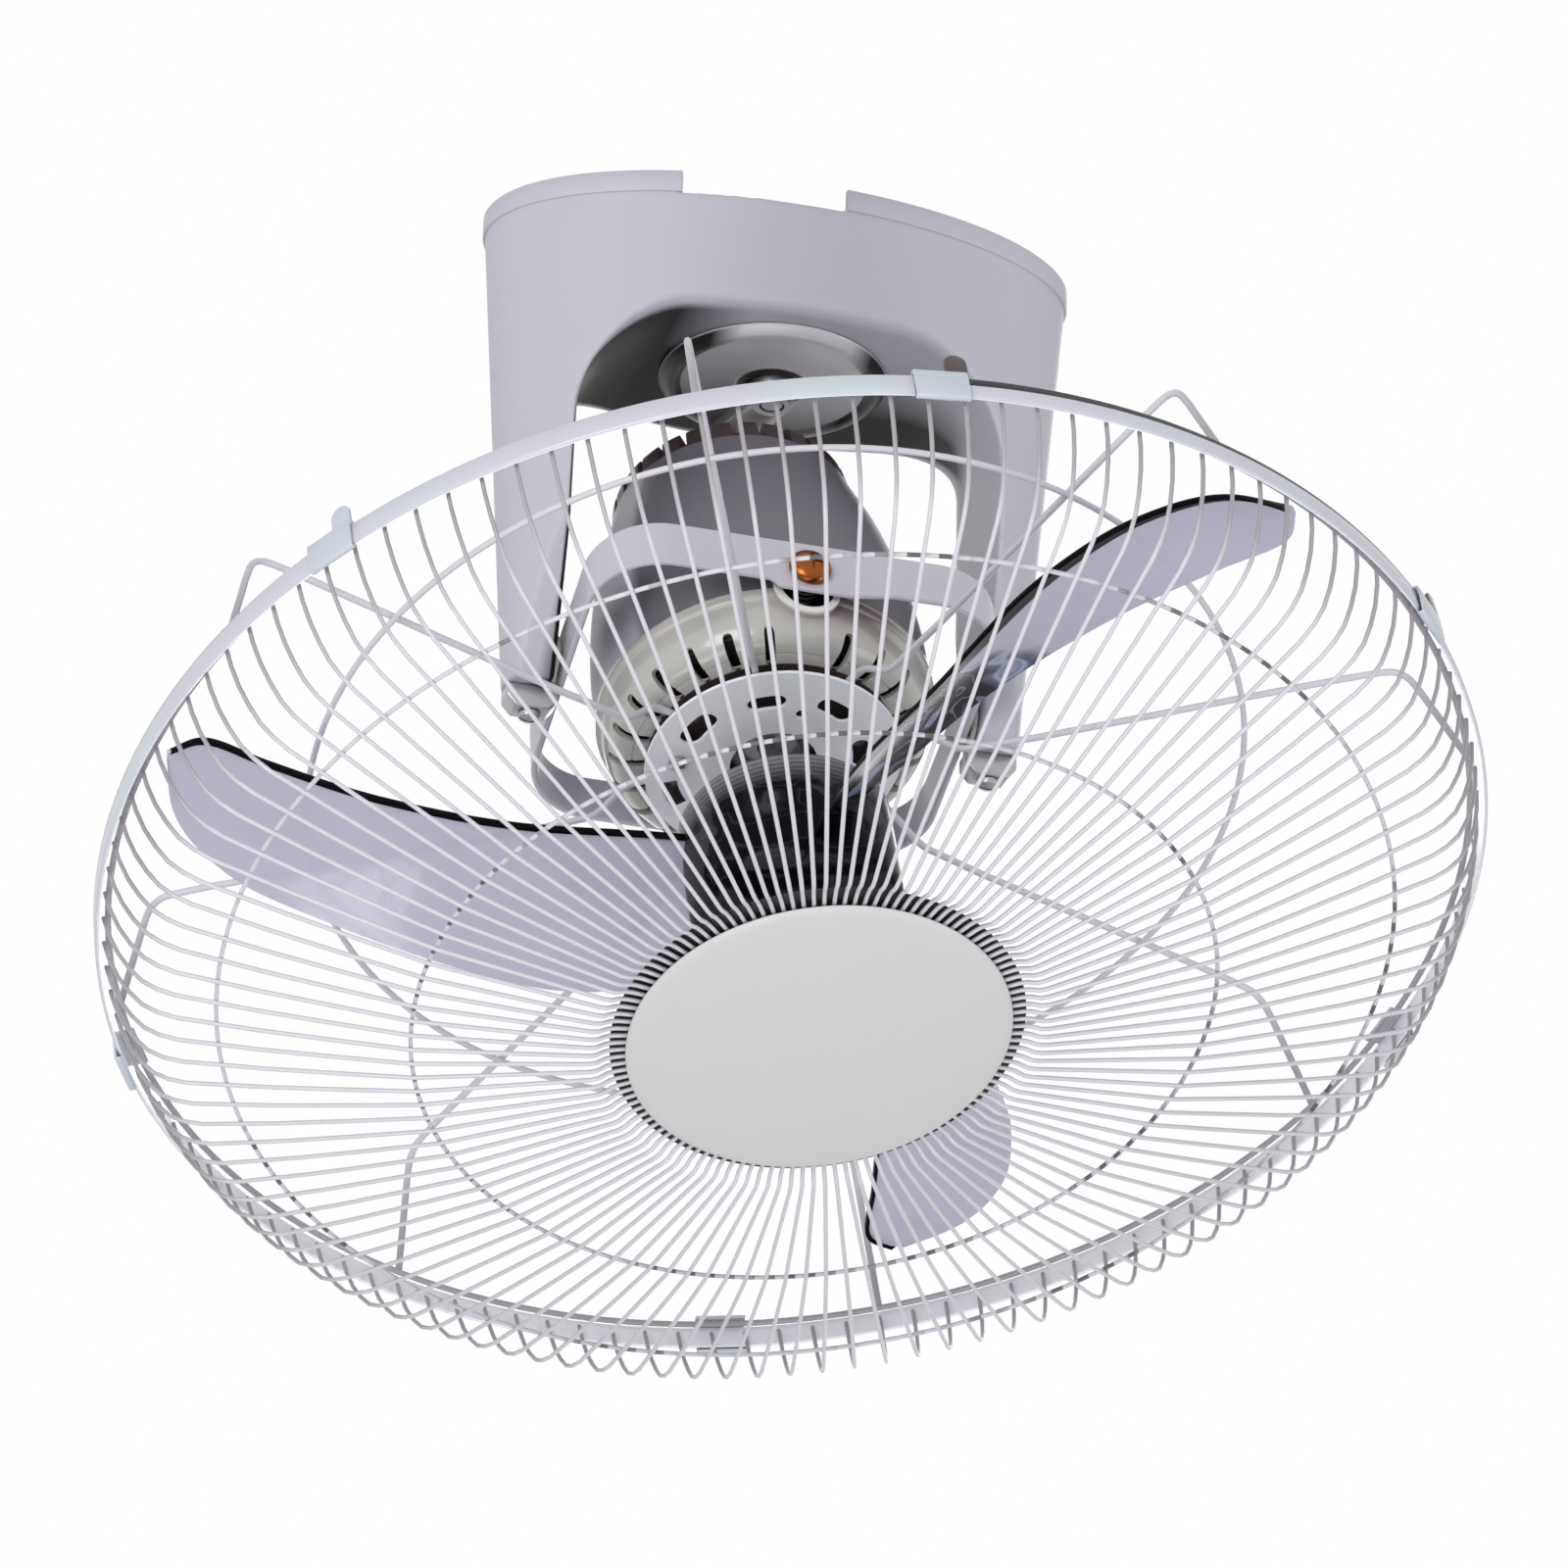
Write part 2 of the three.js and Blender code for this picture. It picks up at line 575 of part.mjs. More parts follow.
function buildGimbal() {
  add(gimbal, 'gimbal_ring', gimbalRing(), FINISH.ring);
  add(gimbal, 'side_pin_left', sidePin(-1), FINISH.steel);
  add(gimbal, 'side_pin_right', sidePin(1), FINISH.steel);
  add(gimbal, 'tilt_pin_front', tiltPin(-1), FINISH.brass);
  add(gimbal, 'tilt_pin_rear', tiltPin(1), FINISH.brass);
  add(gimbal, 'pin_spring_front', pinSpring(-1), FINISH.steel);
  add(gimbal, 'pin_spring_rear', pinSpring(1), FINISH.steel);
  console.log(`least gap between the pin springs' turns: ${springGap().toFixed(2)} mm`);
}

// ---------------------------------------------------------------- motor
const MOTOR_SEGMENTS = 32;

const SOCKET_SLIDE = 3.7; // the pin's socket is longer towards the front by this much

/** The tilt pins' axis crosses the head's own frame here. */
const pinInHead = new THREE.Vector3(0, 0, PIN_DROP).applyAxisAngle(new THREE.Vector3(0, 1, 0), -HEAD_ANGLE);

/** A long-sided round block along Y where a tilt pin meets the motor. */
function pinSocket(side, from, to, radius) {
  const shape = new THREE.Shape();
  shape.absarc(0, 0, radius, 0, Math.PI);
  shape.absarc(0, -SOCKET_SLIDE, radius, Math.PI, 2 * Math.PI);
  return slab(shape, 0, to - from, 7)
    .rotateX(Math.PI / 2)
    .translate(pinInHead.x, side > 0 ? to : -from, pinInHead.z);
}

function frontCover() {
  const front = MOTOR_FRONT_Z;
  const rim = SEAM_Z - GAP;
  const shell = lathe([
    [9, front], [44.6, front], [50, front + 2.6], [53, front + 9], [53.7, rim - 3.7], [54.6, rim - 3.3],
    [54.6, rim], [MOTOR_R - MOTOR_WALL, rim], [51, front + 9.4], [48.4, front + 4.2],
    [43.4, front + 2], [9, front + 2],
  ], MOTOR_SEGMENTS);
  const slot = box([40.5, -1.3, front - 2], [51.4, 1.3, front + 5]);
  const slots = Array.from({ length: VENT_STEPS }, (_, i) => i)
    .filter((i) => i % (VENT_STEPS / 2) !== VENT_STEPS / 4)
    .map((i) => slot.clone().rotateZ((2 * Math.PI * i) / VENT_STEPS));
  const lobes = [-1, 1].map((side) => pinSocket(side, MOTOR_R - 8, MOTOR_R + 10, 11.6));
  return subtract(shell, ...slots, ...lobes);
}

function rearCover() {
  const rear = MOTOR_REAR_Z;
  const shell = lathe([
    [MOTOR_R, SEAM_Z], [MOTOR_R + 0.2, 10], [52.2, 30], [47.4, 54], [39.6, 79],
    [MOTOR_REAR_R, rear], [12, rear], [10, rear + 3], [0, rear + 3], [0, rear - 2],
    [32, rear - 2], [37.4, 78], [45.2, 53], [50.2, 30], [MOTOR_R - MOTOR_WALL, SEAM_Z],
  ], MOTOR_SEGMENTS);
  const cups = [-1, 1].map((side) => pinSocket(side, MOTOR_R - 10, MOTOR_R + 0.6, 11));
  const bores = [-1, 1].map((side) => pinSocket(side, MOTOR_R - 8, MOTOR_R + 10, 8.4));
  const pinHoles = [-1, 1].map((side) => rodBetween(new THREE.Vector3(0, side * 40, 0),
    new THREE.Vector3(0, side * 50, 0), 3.4, 12).translate(pinInHead.x, 0, pinInHead.z));
  const notch = box([27, -2.6, rear - 7], [45, 2.6, rear + 5]);
  const notches = Array.from({ length: REAR_VENTS }, (_, i) =>
    notch.clone().rotateZ((2 * Math.PI * i) / REAR_VENTS));
  return subtract(unite(shell, ...cups), ...bores, ...pinHoles, ...notches);
}

function statorCore() {
  return subtract(rod(43, 2, 40, 28), rod(24.5, -5, 50, 24));
}

function windingRing(low, high) {
  const middle = (low + high) / 2;
  return lathe([[27, low + 2], [31, low], [37, low], [40, middle], [37, high], [31, high],
    [27, high - 2]], 20);
}

function bearing(low) {
  return lathe([[SHAFT_R + 0.4, low], [12.6, low], [12.6, low + 6], [SHAFT_R + 0.4, low + 6]], 18);
}

function buildMotor() {
  add(head, 'motor_front_cover', frontCover(), FINISH.motorFront);
  add(head, 'motor_rear_cover', rearCover(), FINISH.motorRear);
  add(head, 'stator_core', statorCore(), FINISH.core);
  add(head, 'winding_front', windingRing(-8, 1.7), FINISH.winding);
  add(head, 'winding_rear', windingRing(40.3, 50), FINISH.winding);
  add(head, 'bearing_front', bearing(MOTOR_FRONT_Z + 2.2), FINISH.steel);
  add(head, 'bearing_rear', bearing(MOTOR_REAR_Z - 9), FINISH.steel);
  add(head, 'drive_stud', lathe([[0, MOTOR_REAR_Z + 3.3], [9, MOTOR_REAR_Z + 3.3],
    [9, MOTOR_REAR_Z + 5.5], [5, MOTOR_REAR_Z + 7], [5, STUD_END - 1], [4, STUD_END],
    [0, STUD_END]], 20), FINISH.zinc);
}

// ---------------------------------------------------------------- rotor and blades
/** Blade edges as [radius, degrees, height], for the first blade. */
function bladeEdge(points) {
  return new THREE.CatmullRomCurve3(points.map((p) => new THREE.Vector3(...p)), false, 'centripetal');
}

const LEADING = bladeEdge([[30, 183, -69], [80, 180, -69], [130, 182.4, -69], [172, 185.8, -69],
  [196, 187.3, -69], [BLADE_TIP_R, 185.2, -69]]);
const TRAILING = bladeEdge([[30, 136, -103], [75, 149.5, -102], [103, 158, -97], [147, 166, -83.5],
  [178, 172, -77], [197, 178.5, -72], [BLADE_TIP_R, 184.4, -69.6]]);

/** Cross-section of a blade at one share of its length: a thin cambered loop. */
function bladeSection(share) {
  const [lead, trail] = [LEADING.getPoint(share), TRAILING.getPoint(share)];
  const across = 4;
  const camber = 5 * (1 - share) + 1.5;
  const line = (offset) => Array.from({ length: across + 1 }, (_, i) => {
    const t = i / across;
    const p = lead.clone().lerp(trail, t);
    const bow = camber * 4 * t * (1 - t);
    const thick = offset * (0.35 + 0.65 * Math.min(1, 3 * Math.min(t, 1 - t)));
    return new THREE.Vector3(p.x * Math.cos(rad(p.y)), p.x * Math.sin(rad(p.y)), p.z + bow + thick);
  });
  return [...line(BLADE_THICK / 2), ...line(-BLADE_THICK / 2).reverse()];
}

function blade() {
  const shares = [0, 0.2, 0.4, 0.6, 0.76, 0.88, 0.96, 1];
  return loft(shares.map(bladeSection));
}

function impeller() {
  const wall = 2.2;
  const front = HUB_FRONT_Z;
  const hub = lathe([
    [SHAFT_R + GAP, front - 1.5], [20, front], [HUB_R - 2.5, front + 4], [HUB_R, front + 9],
    [HUB_R, HUB_REAR_Z], [HUB_R - wall, HUB_REAR_Z], [HUB_R - wall, front + 10],
    [HUB_R - 6, front + 6.6], [11, front + 3], [10, HUB_REAR_Z - 8],
    [SHAFT_R + GAP, HUB_REAR_Z - 8],
  ], 32);
  const turns = Array.from({ length: BLADE_COUNT }, (_, i) => (2 * Math.PI * i) / BLADE_COUNT);
  const blades = turns.map((turn) => blade().rotateZ(turn));
  const trimmed = blades.map((b) => toSolid(b).subtract(toSolid(rod(HUB_R - wall / 2, -140, -20, 32))));
  return toGeometry(trimmed.reduce((sum, b) => sum.add(b), toSolid(hub)));
}

function buildRotor() {
  const shaftFront = HUB_FRONT_Z - 9;
  add(head, 'motor_shaft', rod(SHAFT_R, shaftFront, MOTOR_REAR_Z - 3, 20), FINISH.steel);
  add(head, 'rotor_core', subtract(rod(24, 2, 40, 24), rod(SHAFT_R + GAP, -5, 50, 12)), FINISH.core);
  add(head, 'blade_impeller', impeller(), FINISH.blade);
  add(head, 'blade_nut', lathe([[SHAFT_R + GAP, HUB_FRONT_Z - 1.9], [13, HUB_FRONT_Z - 1.9],
    [14, HUB_FRONT_Z - 4], [11, HUB_FRONT_Z - 10], [SHAFT_R + GAP, HUB_FRONT_Z - 11]], 12),
  FINISH.black);
}

// ---------------------------------------------------------------- guard
/** Where a front wire runs, from the hoop round its bend to the seat under the cap. */
const FRONT_WIRE = [[217, -87.5], [211.8, -107.5], [203, -118.4], [125.9, -140.4], [70, -148.4],
  [59.6, -147]];
const SEAT_INNER_R = 54;

/**
 * The front guard as one closed skin. Each wire is a three-sided bar, two corners to the
 * front and one behind, and its inner end opens straight into the seat ring's outer face.
 */
function frontGuard() {
  const positions = [];
  const index = [];
  const perWire = FRONT_WIRE.length * 3 + 1;
  const pitch = (2 * Math.PI) / WIRE_COUNT;
  const put = (r, z, side, turn) => {
    positions.push(r * Math.cos(turn) - side * Math.sin(turn), r * Math.sin(turn) + side * Math.cos(turn), z);
  };
  const quad = (p, q, r, s) => index.push(p, q, r, p, r, s);
  for (let wire = 0; wire < WIRE_COUNT; wire += 1) {
    const turn = wire * pitch + rad(WIRE_PHASE);
    FRONT_WIRE.forEach(([r, z], i) => {
      const [r0, z0] = FRONT_WIRE[Math.max(i - 1, 0)];
      const [r1, z1] = FRONT_WIRE[Math.min(i + 1, FRONT_WIRE.length - 1)];
      const length = Math.hypot(r1 - r0, z1 - z0);
      const [outR, outZ] = [-(z1 - z0) / length, (r1 - r0) / length];
      put(r + outR * WIRE_R * 0.6, z + outZ * WIRE_R * 0.6, -WIRE_R, turn);
      put(r + outR * WIRE_R * 0.6, z + outZ * WIRE_R * 0.6, WIRE_R, turn);
      put(r - outR * WIRE_R * 1.3, z - outZ * WIRE_R * 1.3, 0, turn);
    });
    put(SEAT_INNER_R, FRONT_WIRE[FRONT_WIRE.length - 1][1], 0, turn);
    const first = wire * perWire;
    const next = ((wire + 1) % WIRE_COUNT) * perWire;
    for (let i = 0; i + 1 < FRONT_WIRE.length; i += 1) {
      const [left, right, back] = [0, 1, 2].map((corner) => first + i * 3 + corner);
      quad(left, right, right + 3, left + 3);
      quad(right, back, back + 3, right + 3);
      quad(back, left, left + 3, back + 3);
    }
    index.push(first, first + 2, first + 1);
    const end = perWire - 4;
    const [left, right, back, inner] = [0, 1, 2, 3].map((corner) => first + end + corner);
    const [nextLeft, nextBack, nextInner] = [0, 2, 3].map((corner) => next + end + corner);
    index.push(left, right, inner);
    quad(right, nextLeft, nextInner, inner);
    quad(nextLeft, right, back, nextBack);
    quad(back, inner, nextInner, nextBack);
  }
  const geometry = new THREE.BufferGeometry();
  geometry.setAttribute('position', new THREE.Float32BufferAttribute(positions, 3));
  geometry.setIndex(index);
  return welded(geometry);
}

/** A ring that the front wires cross, lying just behind them. */
function crossRing(radius, z) {
  return torus(radius, CROSS_RING_R, z + WIRE_R * 1.5 + CROSS_RING_R + GAP, 4, 48);
}

function rearGuard() {
  const path = [[215.6, -84], [204, -47], [198, SPOKE_PLANE_Z - 0.8], [190, SPOKE_PLANE_Z],
    [60, SPOKE_PLANE_Z], [46, -28.4], [36, -28.4]];
  const spoke = wireInPlane(path, SPOKE_R, 4, Math.PI / 4);
  const spokes = roundZ(spoke, SPOKE_COUNT, Math.PI / SPOKE_COUNT);
  const middleRing = torus(150.2, REAR_RING_R, SPOKE_PLANE_Z - 1, 4, 48);
  const outerRing = torus(215.4, REAR_RING_R, -84, 4, 56);
  return unite(spokes, middleRing, outerRing);
}

function hoopBand() {
  const [front, rear] = [HOOP_FRONT_Z, HOOP_FRONT_Z + HOOP_WIDTH];
  const inner = HOOP_R - HOOP_THICK;
  return lathe([[inner, front], [HOOP_R, front + 0.6], [HOOP_R, rear - 0.6], [inner, rear]], 64);
}

/** Spring clip that hooks the rear guard to the hoop. */
function hoopClip(azimuth) {
  const [front, rear] = [HOOP_FRONT_Z, HOOP_FRONT_Z + HOOP_WIDTH];
  const out = HOOP_R + GAP;
  const outline = [[out, front - 0.8], [out, rear + GAP], [213, rear + GAP], [213, rear + 1.5],
    [217, rear + 1.5], [217, rear + 5.5], [219.4, rear + 5.5], [219.4, rear + 1.5],
    [out + 1, rear + 1.5], [out + 1, front - 1.4], [219.6, front - 1.8], [219, front - 0.9]];
  const shape = new THREE.Shape(outline.map(([r, z]) => new THREE.Vector2(r, z)));
  const width = 13;
  return new THREE.ExtrudeGeometry(shape, { depth: width, bevelEnabled: false })
    .rotateX(Math.PI / 2)
    .translate(0, width / 2, 0)
    .rotateZ(rad(azimuth));
}

/** Part of a circle as points, from one azimuth to another in degrees. */
function arcPoints(radius, from, to, steps) {
  return Array.from({ length: steps + 1 }, (_, i) => {
    const angle = rad(from + ((to - from) * i) / steps);
    return new THREE.Vector2(radius * Math.cos(angle), radius * Math.sin(angle));
  });
}

/** Disc that clamps the rear guard's wire ends against the motor. */
function guardPlate() {
  const shape = new THREE.Shape(arcPoints(41.5, 0, 354, 39));
  shape.holes.push(new THREE.Path(arcPoints(14, 0, 345, 15)));
  const window = (middle, half, near, far) => {
    const outer = arcPoints(far, middle - half, middle + half, 4);
    const inner = arcPoints(near, middle + half, middle - half, 4);
    shape.holes.push(new THREE.Path([...outer, ...inner]));
  };
  for (const middle of [251, 297, 343, 29, 75]) window(middle, 12, 25.4, 31.4);
  window(204, 13, 27, 34.6);
  const square = [...arcPoints(37, 137, 159, 1), ...arcPoints(31, 159, 137, 1)];
  shape.holes.push(new THREE.Path(square));
  const pinhole = new THREE.Path();
  pinhole.absarc(23.4 * Math.cos(rad(277.6)), 23.4 * Math.sin(rad(277.6)), 2, 0, 2 * Math.PI);
  shape.holes.push(pinhole);
  return slab(shape, -31.4, -30.2, 4);
}

const SCREW_AZIMUTHS = [5, 174, 110]; // between the plate's windows

function plateScrew(azimuth) {
  return lathe([[0, -31.7], [3.2, -31.7], [3, -33], [1.6, -33.8], [0, -34]], 12)
    .translate(31 * Math.cos(rad(azimuth)), 31 * Math.sin(rad(azimuth)), 0);
}

function centreCap() {
  const rear = CAP_Z + 0.9;
  return lathe([[0, CAP_Z - 3], [30, CAP_Z - 2.5], [50, CAP_Z - 1.4], [58.6, CAP_Z - 0.4],
    [CAP_R, CAP_Z + 0.4], [CAP_R, rear], [0, rear]], 40);
}

function buildGuard() {
  add(head, 'guard_plate', guardPlate(), FINISH.plate);
  for (const [i, azimuth] of SCREW_AZIMUTHS.entries()) {
    add(head, `plate_screw_${i + 1}`, plateScrew(azimuth), FINISH.zinc);
  }
  add(head, 'rear_guard', rearGuard(), FINISH.guard);
  add(head, 'hoop_band', hoopBand(), FINISH.guard);
  for (const [i, azimuth] of CLIP_AZIMUTHS.entries()) {
    add(head, `hoop_clip_${i + 1}`, hoopClip(azimuth), FINISH.guard);
  }
  add(head, 'front_guard', frontGuard(), FINISH.guard);
  add(head, 'cross_ring_outer', crossRing(184.6, -123.7), FINISH.guard);
  add(head, 'cross_ring_inner', crossRing(125.9, -140.2), FINISH.guard);
  add(head, 'centre_cap', centreCap(), FINISH.cap);
}

buildCanopy();
buildPivots();
buildCrank();
buildGimbal();
buildMotor();
buildRotor();
buildGuard();

export default fan;
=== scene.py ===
"""Orbital ceiling fan: the smooth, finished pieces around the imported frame.

Every size is in millimetres in its own assembly's frame and becomes metres in the shared
frame when a piece is placed. The canopy hangs from the origin, the ring tilts about X
through the pivot, and the head tilts inside the ring.
"""

import logging
import math
from dataclasses import dataclass
from enum import Enum
from typing import Callable, ClassVar, Iterable, Sequence

import bmesh
import bpy
from mathutils import Matrix, Vector


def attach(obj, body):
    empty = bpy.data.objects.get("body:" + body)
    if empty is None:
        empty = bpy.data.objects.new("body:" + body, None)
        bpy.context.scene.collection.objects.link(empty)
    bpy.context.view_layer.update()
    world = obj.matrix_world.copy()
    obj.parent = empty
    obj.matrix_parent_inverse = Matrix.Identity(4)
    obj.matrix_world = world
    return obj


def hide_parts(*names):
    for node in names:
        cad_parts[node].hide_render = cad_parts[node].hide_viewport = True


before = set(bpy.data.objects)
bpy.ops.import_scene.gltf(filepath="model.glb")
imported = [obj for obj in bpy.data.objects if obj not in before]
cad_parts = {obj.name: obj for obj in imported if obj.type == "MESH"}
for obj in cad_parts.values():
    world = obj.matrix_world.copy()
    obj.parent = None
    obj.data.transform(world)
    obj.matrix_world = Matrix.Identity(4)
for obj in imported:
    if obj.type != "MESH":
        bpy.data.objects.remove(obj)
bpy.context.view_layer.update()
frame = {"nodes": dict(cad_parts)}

LOG = logging.getLogger("fan")
MM = 0.001
TURN = 2 * math.pi

Point2 = tuple[float, float]
Colour = tuple[float, float, float]

# The point that both tilt axes pass through, and the head's lean in the pose at rest.
PIVOT_Z = -162.8
ORBIT_TILT = math.radians(18.3)
ORBIT_AZIMUTH = math.radians(13.8)
LEAN = Vector((
    math.sin(ORBIT_TILT) * math.sin(ORBIT_AZIMUTH),
    -math.sin(ORBIT_TILT) * math.cos(ORBIT_AZIMUTH),
    -math.cos(ORBIT_TILT),
))
# From each assembly's millimetres to the shared frame.
TO_WORLD = Matrix.Scale(MM, 4)
TO_RING = (TO_WORLD @ Matrix.Translation((0, 0, PIVOT_Z))
           @ Matrix.Rotation(-math.atan2(-LEAN.y, -LEAN.z), 4, "X"))
TO_HEAD = TO_RING @ Matrix.Rotation(-math.asin(LEAN.x), 4, "Y")
TO_CRANK = TO_WORLD @ Matrix.Rotation(ORBIT_AZIMUTH, 4, "Z")
# The tilt pins sit below the ring's middle, in sockets that are longer than they are wide.
PIN_DROP = Vector((0, 0, -3))
PIN_IN_HEAD = TO_HEAD.inverted() @ (TO_RING @ PIN_DROP)
SOCKET_SLIDE = 3.7
# The canopy's floor, its oval rim, and how far its wall draws in for each millimetre down.
UNDERSIDE = -46.2
RIM_A = 99.0
RIM_B = 49.8
RIM_STEP = 0.8
RIM_HEIGHT = 7.8
WALL_TAPER = Vector((0.078, 0.06))
# The hoop's edges along the head's axis.
HOOP_FRONT = -91.0
HOOP_REAR = -82.5
SIDES = ((-1, "left"), (1, "right"))


# ---------------------------------------------------------------- shader maths
class Value:
    """A number socket in a shader tree that Python's operators work on."""

    def __init__(self, shader: "Shader", socket: bpy.types.NodeSocket) -> None:
        """Wraps a socket.

        Args:
            shader: The shader that owns the tree.
            socket: The output socket to wrap.
        """
        self.shader = shader
        self.socket = socket

    def _math(self, operation: str, first: object, second: object = 0.0) -> "Value":
        """Adds one Math node.

        Args:
            operation: The node's operation.
            first: A number or a Value.
            second: A number or a Value.

        Returns:
            The node's result.
        """
        node = self.shader.node("ShaderNodeMath", {"operation": operation}, {0: first, 1: second})
        return Value(self.shader, node.outputs[0])

    def __add__(self, other: object) -> "Value":
        """Adds."""
        return self._math("ADD", self, other)

    def __sub__(self, other: object) -> "Value":
        """Subtracts."""
        return self._math("SUBTRACT", self, other)

    def __rsub__(self, other: object) -> "Value":
        """Subtracts from a number."""
        return self._math("SUBTRACT", other, self)

    def __mul__(self, other: object) -> "Value":
        """Multiplies."""
        return self._math("MULTIPLY", self, other)

    __radd__ = __add__
    __rmul__ = __mul__

    def __neg__(self) -> "Value":
        """Turns the sign."""
        return self * -1

    def sine(self) -> "Value":
        """Takes the sine."""
        return self._math("SINE", self)

    def size(self) -> "Value":
        """Drops the sign."""
        return self._math("ABSOLUTE", self)

    def power(self, exponent: float) -> "Value":
        """Raises to a power."""
        return self._math("POWER", self, exponent)

    def bearing(self, other: "Value") -> "Value":
        """Gives the angle, in degrees, whose sine runs along this and cosine along the other."""
        return self._math("ARCTAN2", self, other) * math.degrees(1)

    def reach(self, other: "Value") -> "Value":
        """Gives the distance that two sides at right angles make."""
        return (self * self + other * other).power(0.5)

    def over(self, other: object) -> "Value":
        """Gives 1 where it is greater than the other, or 0."""
        return self._math("GREATER_THAN", self, other)

    def spread(self, low: float, high: float) -> "Value":
        """Stretches the range from low to high over 0 to 1, and clamps it.

        Args:
            low: The value that becomes 0.
            high: The value that becomes 1.

        Returns:
            The stretched value.
        """
        node = self.shader.node("ShaderNodeMapRange", {"clamp": True},
                                {"Value": self, "From Min": low, "From Max": high})
        return Value(self.shader, node.outputs[0])


class Shader:
    """One material's node tree, with a Principled shader at its end."""

    def __init__(self, name: str) -> None:
        """Starts a material.

        Args:
            name: The material's name.
        """
        self.material = bpy.data.materials.new(name)
        self.material.use_nodes = True
        self.tree = self.material.node_tree
        self.principled = self.tree.nodes["Principled BSDF"]
        self.coordinates = self.tree.nodes.new("ShaderNodeTexCoord").outputs["Object"]

    def node(self, kind: str, settings: dict[str, object],
             inputs: dict[object, object]) -> bpy.types.Node:
        """Adds a node.

        Args:
            kind: The node's type.
            settings: Its own settings, which are set first.
            inputs: Values, Values or sockets for its input sockets, by name or number.

        Returns:
            The node.
        """
        node = self.tree.nodes.new(kind)
        for key, value in settings.items():
            setattr(node, key, value)
        for key, value in inputs.items():
            self.feed(node.inputs[key], value)
        return node

    def feed(self, socket: bpy.types.NodeSocket, value: object) -> None:
        """Links or sets one input socket.

        Args:
            socket: The input socket.
            value: A Value, a socket, or a plain number or colour.
        """
        if isinstance(value, Value):
            self.tree.links.new(value.socket, socket)
        elif isinstance(value, bpy.types.NodeSocket):
            self.tree.links.new(value, socket)
        else:
            socket.default_value = value

    def noise(self, scale: float, detail: float = 2.0, stretch: Sequence[float] = (1, 1, 1),
              distortion: float = 0.0) -> Value:
        """Adds a noise texture on the piece's own coordinates.

        Args:
            scale: Features per metre.
            detail: Octaves of detail.
            stretch: How the coordinates are scaled along each axis.
            distortion: How much the noise is drawn into swirls.

        Returns:
            The noise, from 0 to 1.
        """
        place = self.node("ShaderNodeMapping", {},
                          {"Vector": self.coordinates, "Scale": stretch})
        texture = self.node("ShaderNodeTexNoise", {}, {
            "Vector": place.outputs[0], "Scale": scale, "Detail": detail,
            "Distortion": distortion})
        return Value(self, texture.outputs[0])

    def local(self, matrix: Matrix) -> tuple[Value, Value, Value]:
        """Reads where a point lies in one assembly's own frame, in millimetres.

        Args:
            matrix: That frame.

        Returns:
            The point's X, Y and Z.
        """
        back = matrix.inverted()
        moved = self.node("ShaderNodeMapping", {}, {
            "Vector": self.coordinates,
            "Location": back.to_translation(),
            "Rotation": back.to_euler("XYZ"),
            "Scale": back.to_scale(),
        })
        split = self.node("ShaderNodeSeparateXYZ", {}, {0: moved.outputs[0]})
        return tuple(Value(self, split.outputs[name]) for name in "XYZ")

    def mix(self, factor: object, first: object, second: object) -> bpy.types.NodeSocket:
        """Mixes two colours.

        Args:
            factor: How much of the second one.
            first: A colour or a socket.
            second: A colour or a socket.

        Returns:
            The mixed colour.
        """
        node = self.node("ShaderNodeMix", {"data_type": "RGBA"}, {0: factor, 6: first, 7: second})
        return node.outputs[2]

    def bump(self, height: Value, strength: float, distance: float) -> None:
        """Feeds a height into the shader's normal.

        Args:
            height: The height, from 0 to 1.
            strength: The bump's strength.
            distance: What a height of 1 stands for, in metres.
        """
        node = self.node("ShaderNodeBump", {}, {
            "Strength": strength, "Distance": distance, "Height": height})
        self.feed(self.principled.inputs["Normal"], node.outputs[0])

    def set(self, **values: object) -> None:
        """Sets the shader's own sockets, with underscores for the spaces in their names."""
        for key, value in values.items():
            self.feed(self.principled.inputs[key.replace("_", " ")], value)


def srgb(red: int, green: int, blue: int) -> Colour:
    """Turns a written colour into a linear one.

    Args:
        red: Red, to 255.
        green: Green, to 255.
        blue: Blue, to 255.

    Returns:
        The linear colour.
    """
    def linear(level: int) -> float:
        """Turns one level, to 255, into linear light."""
        share = level / 255
        return share / 12.92 if share <= 0.04045 else ((share + 0.055) / 1.055) ** 2.4
    return linear(red), linear(green), linear(blue)


def shade(colour: Colour, factor: float) -> tuple[float, float, float, float]:
    """Gives a colour with alpha, made lighter or darker.

    Args:
        colour: The linear colour.
        factor: What each channel is multiplied by.

    Returns:
        Red, green, blue and alpha.
    """
    return tuple(min(1.0, channel * factor) for channel in colour) + (1.0,)


# Dark brown for the rear cover's crown, for the painted shade behind the front cover's slots and
# for the painted shadows on the cross rings.
CROWN_BROWN = srgb(62, 50, 52)
# Painted shade inside the pins' sockets.
SOCKET_SHADE_BROWN = srgb(34, 22, 19)


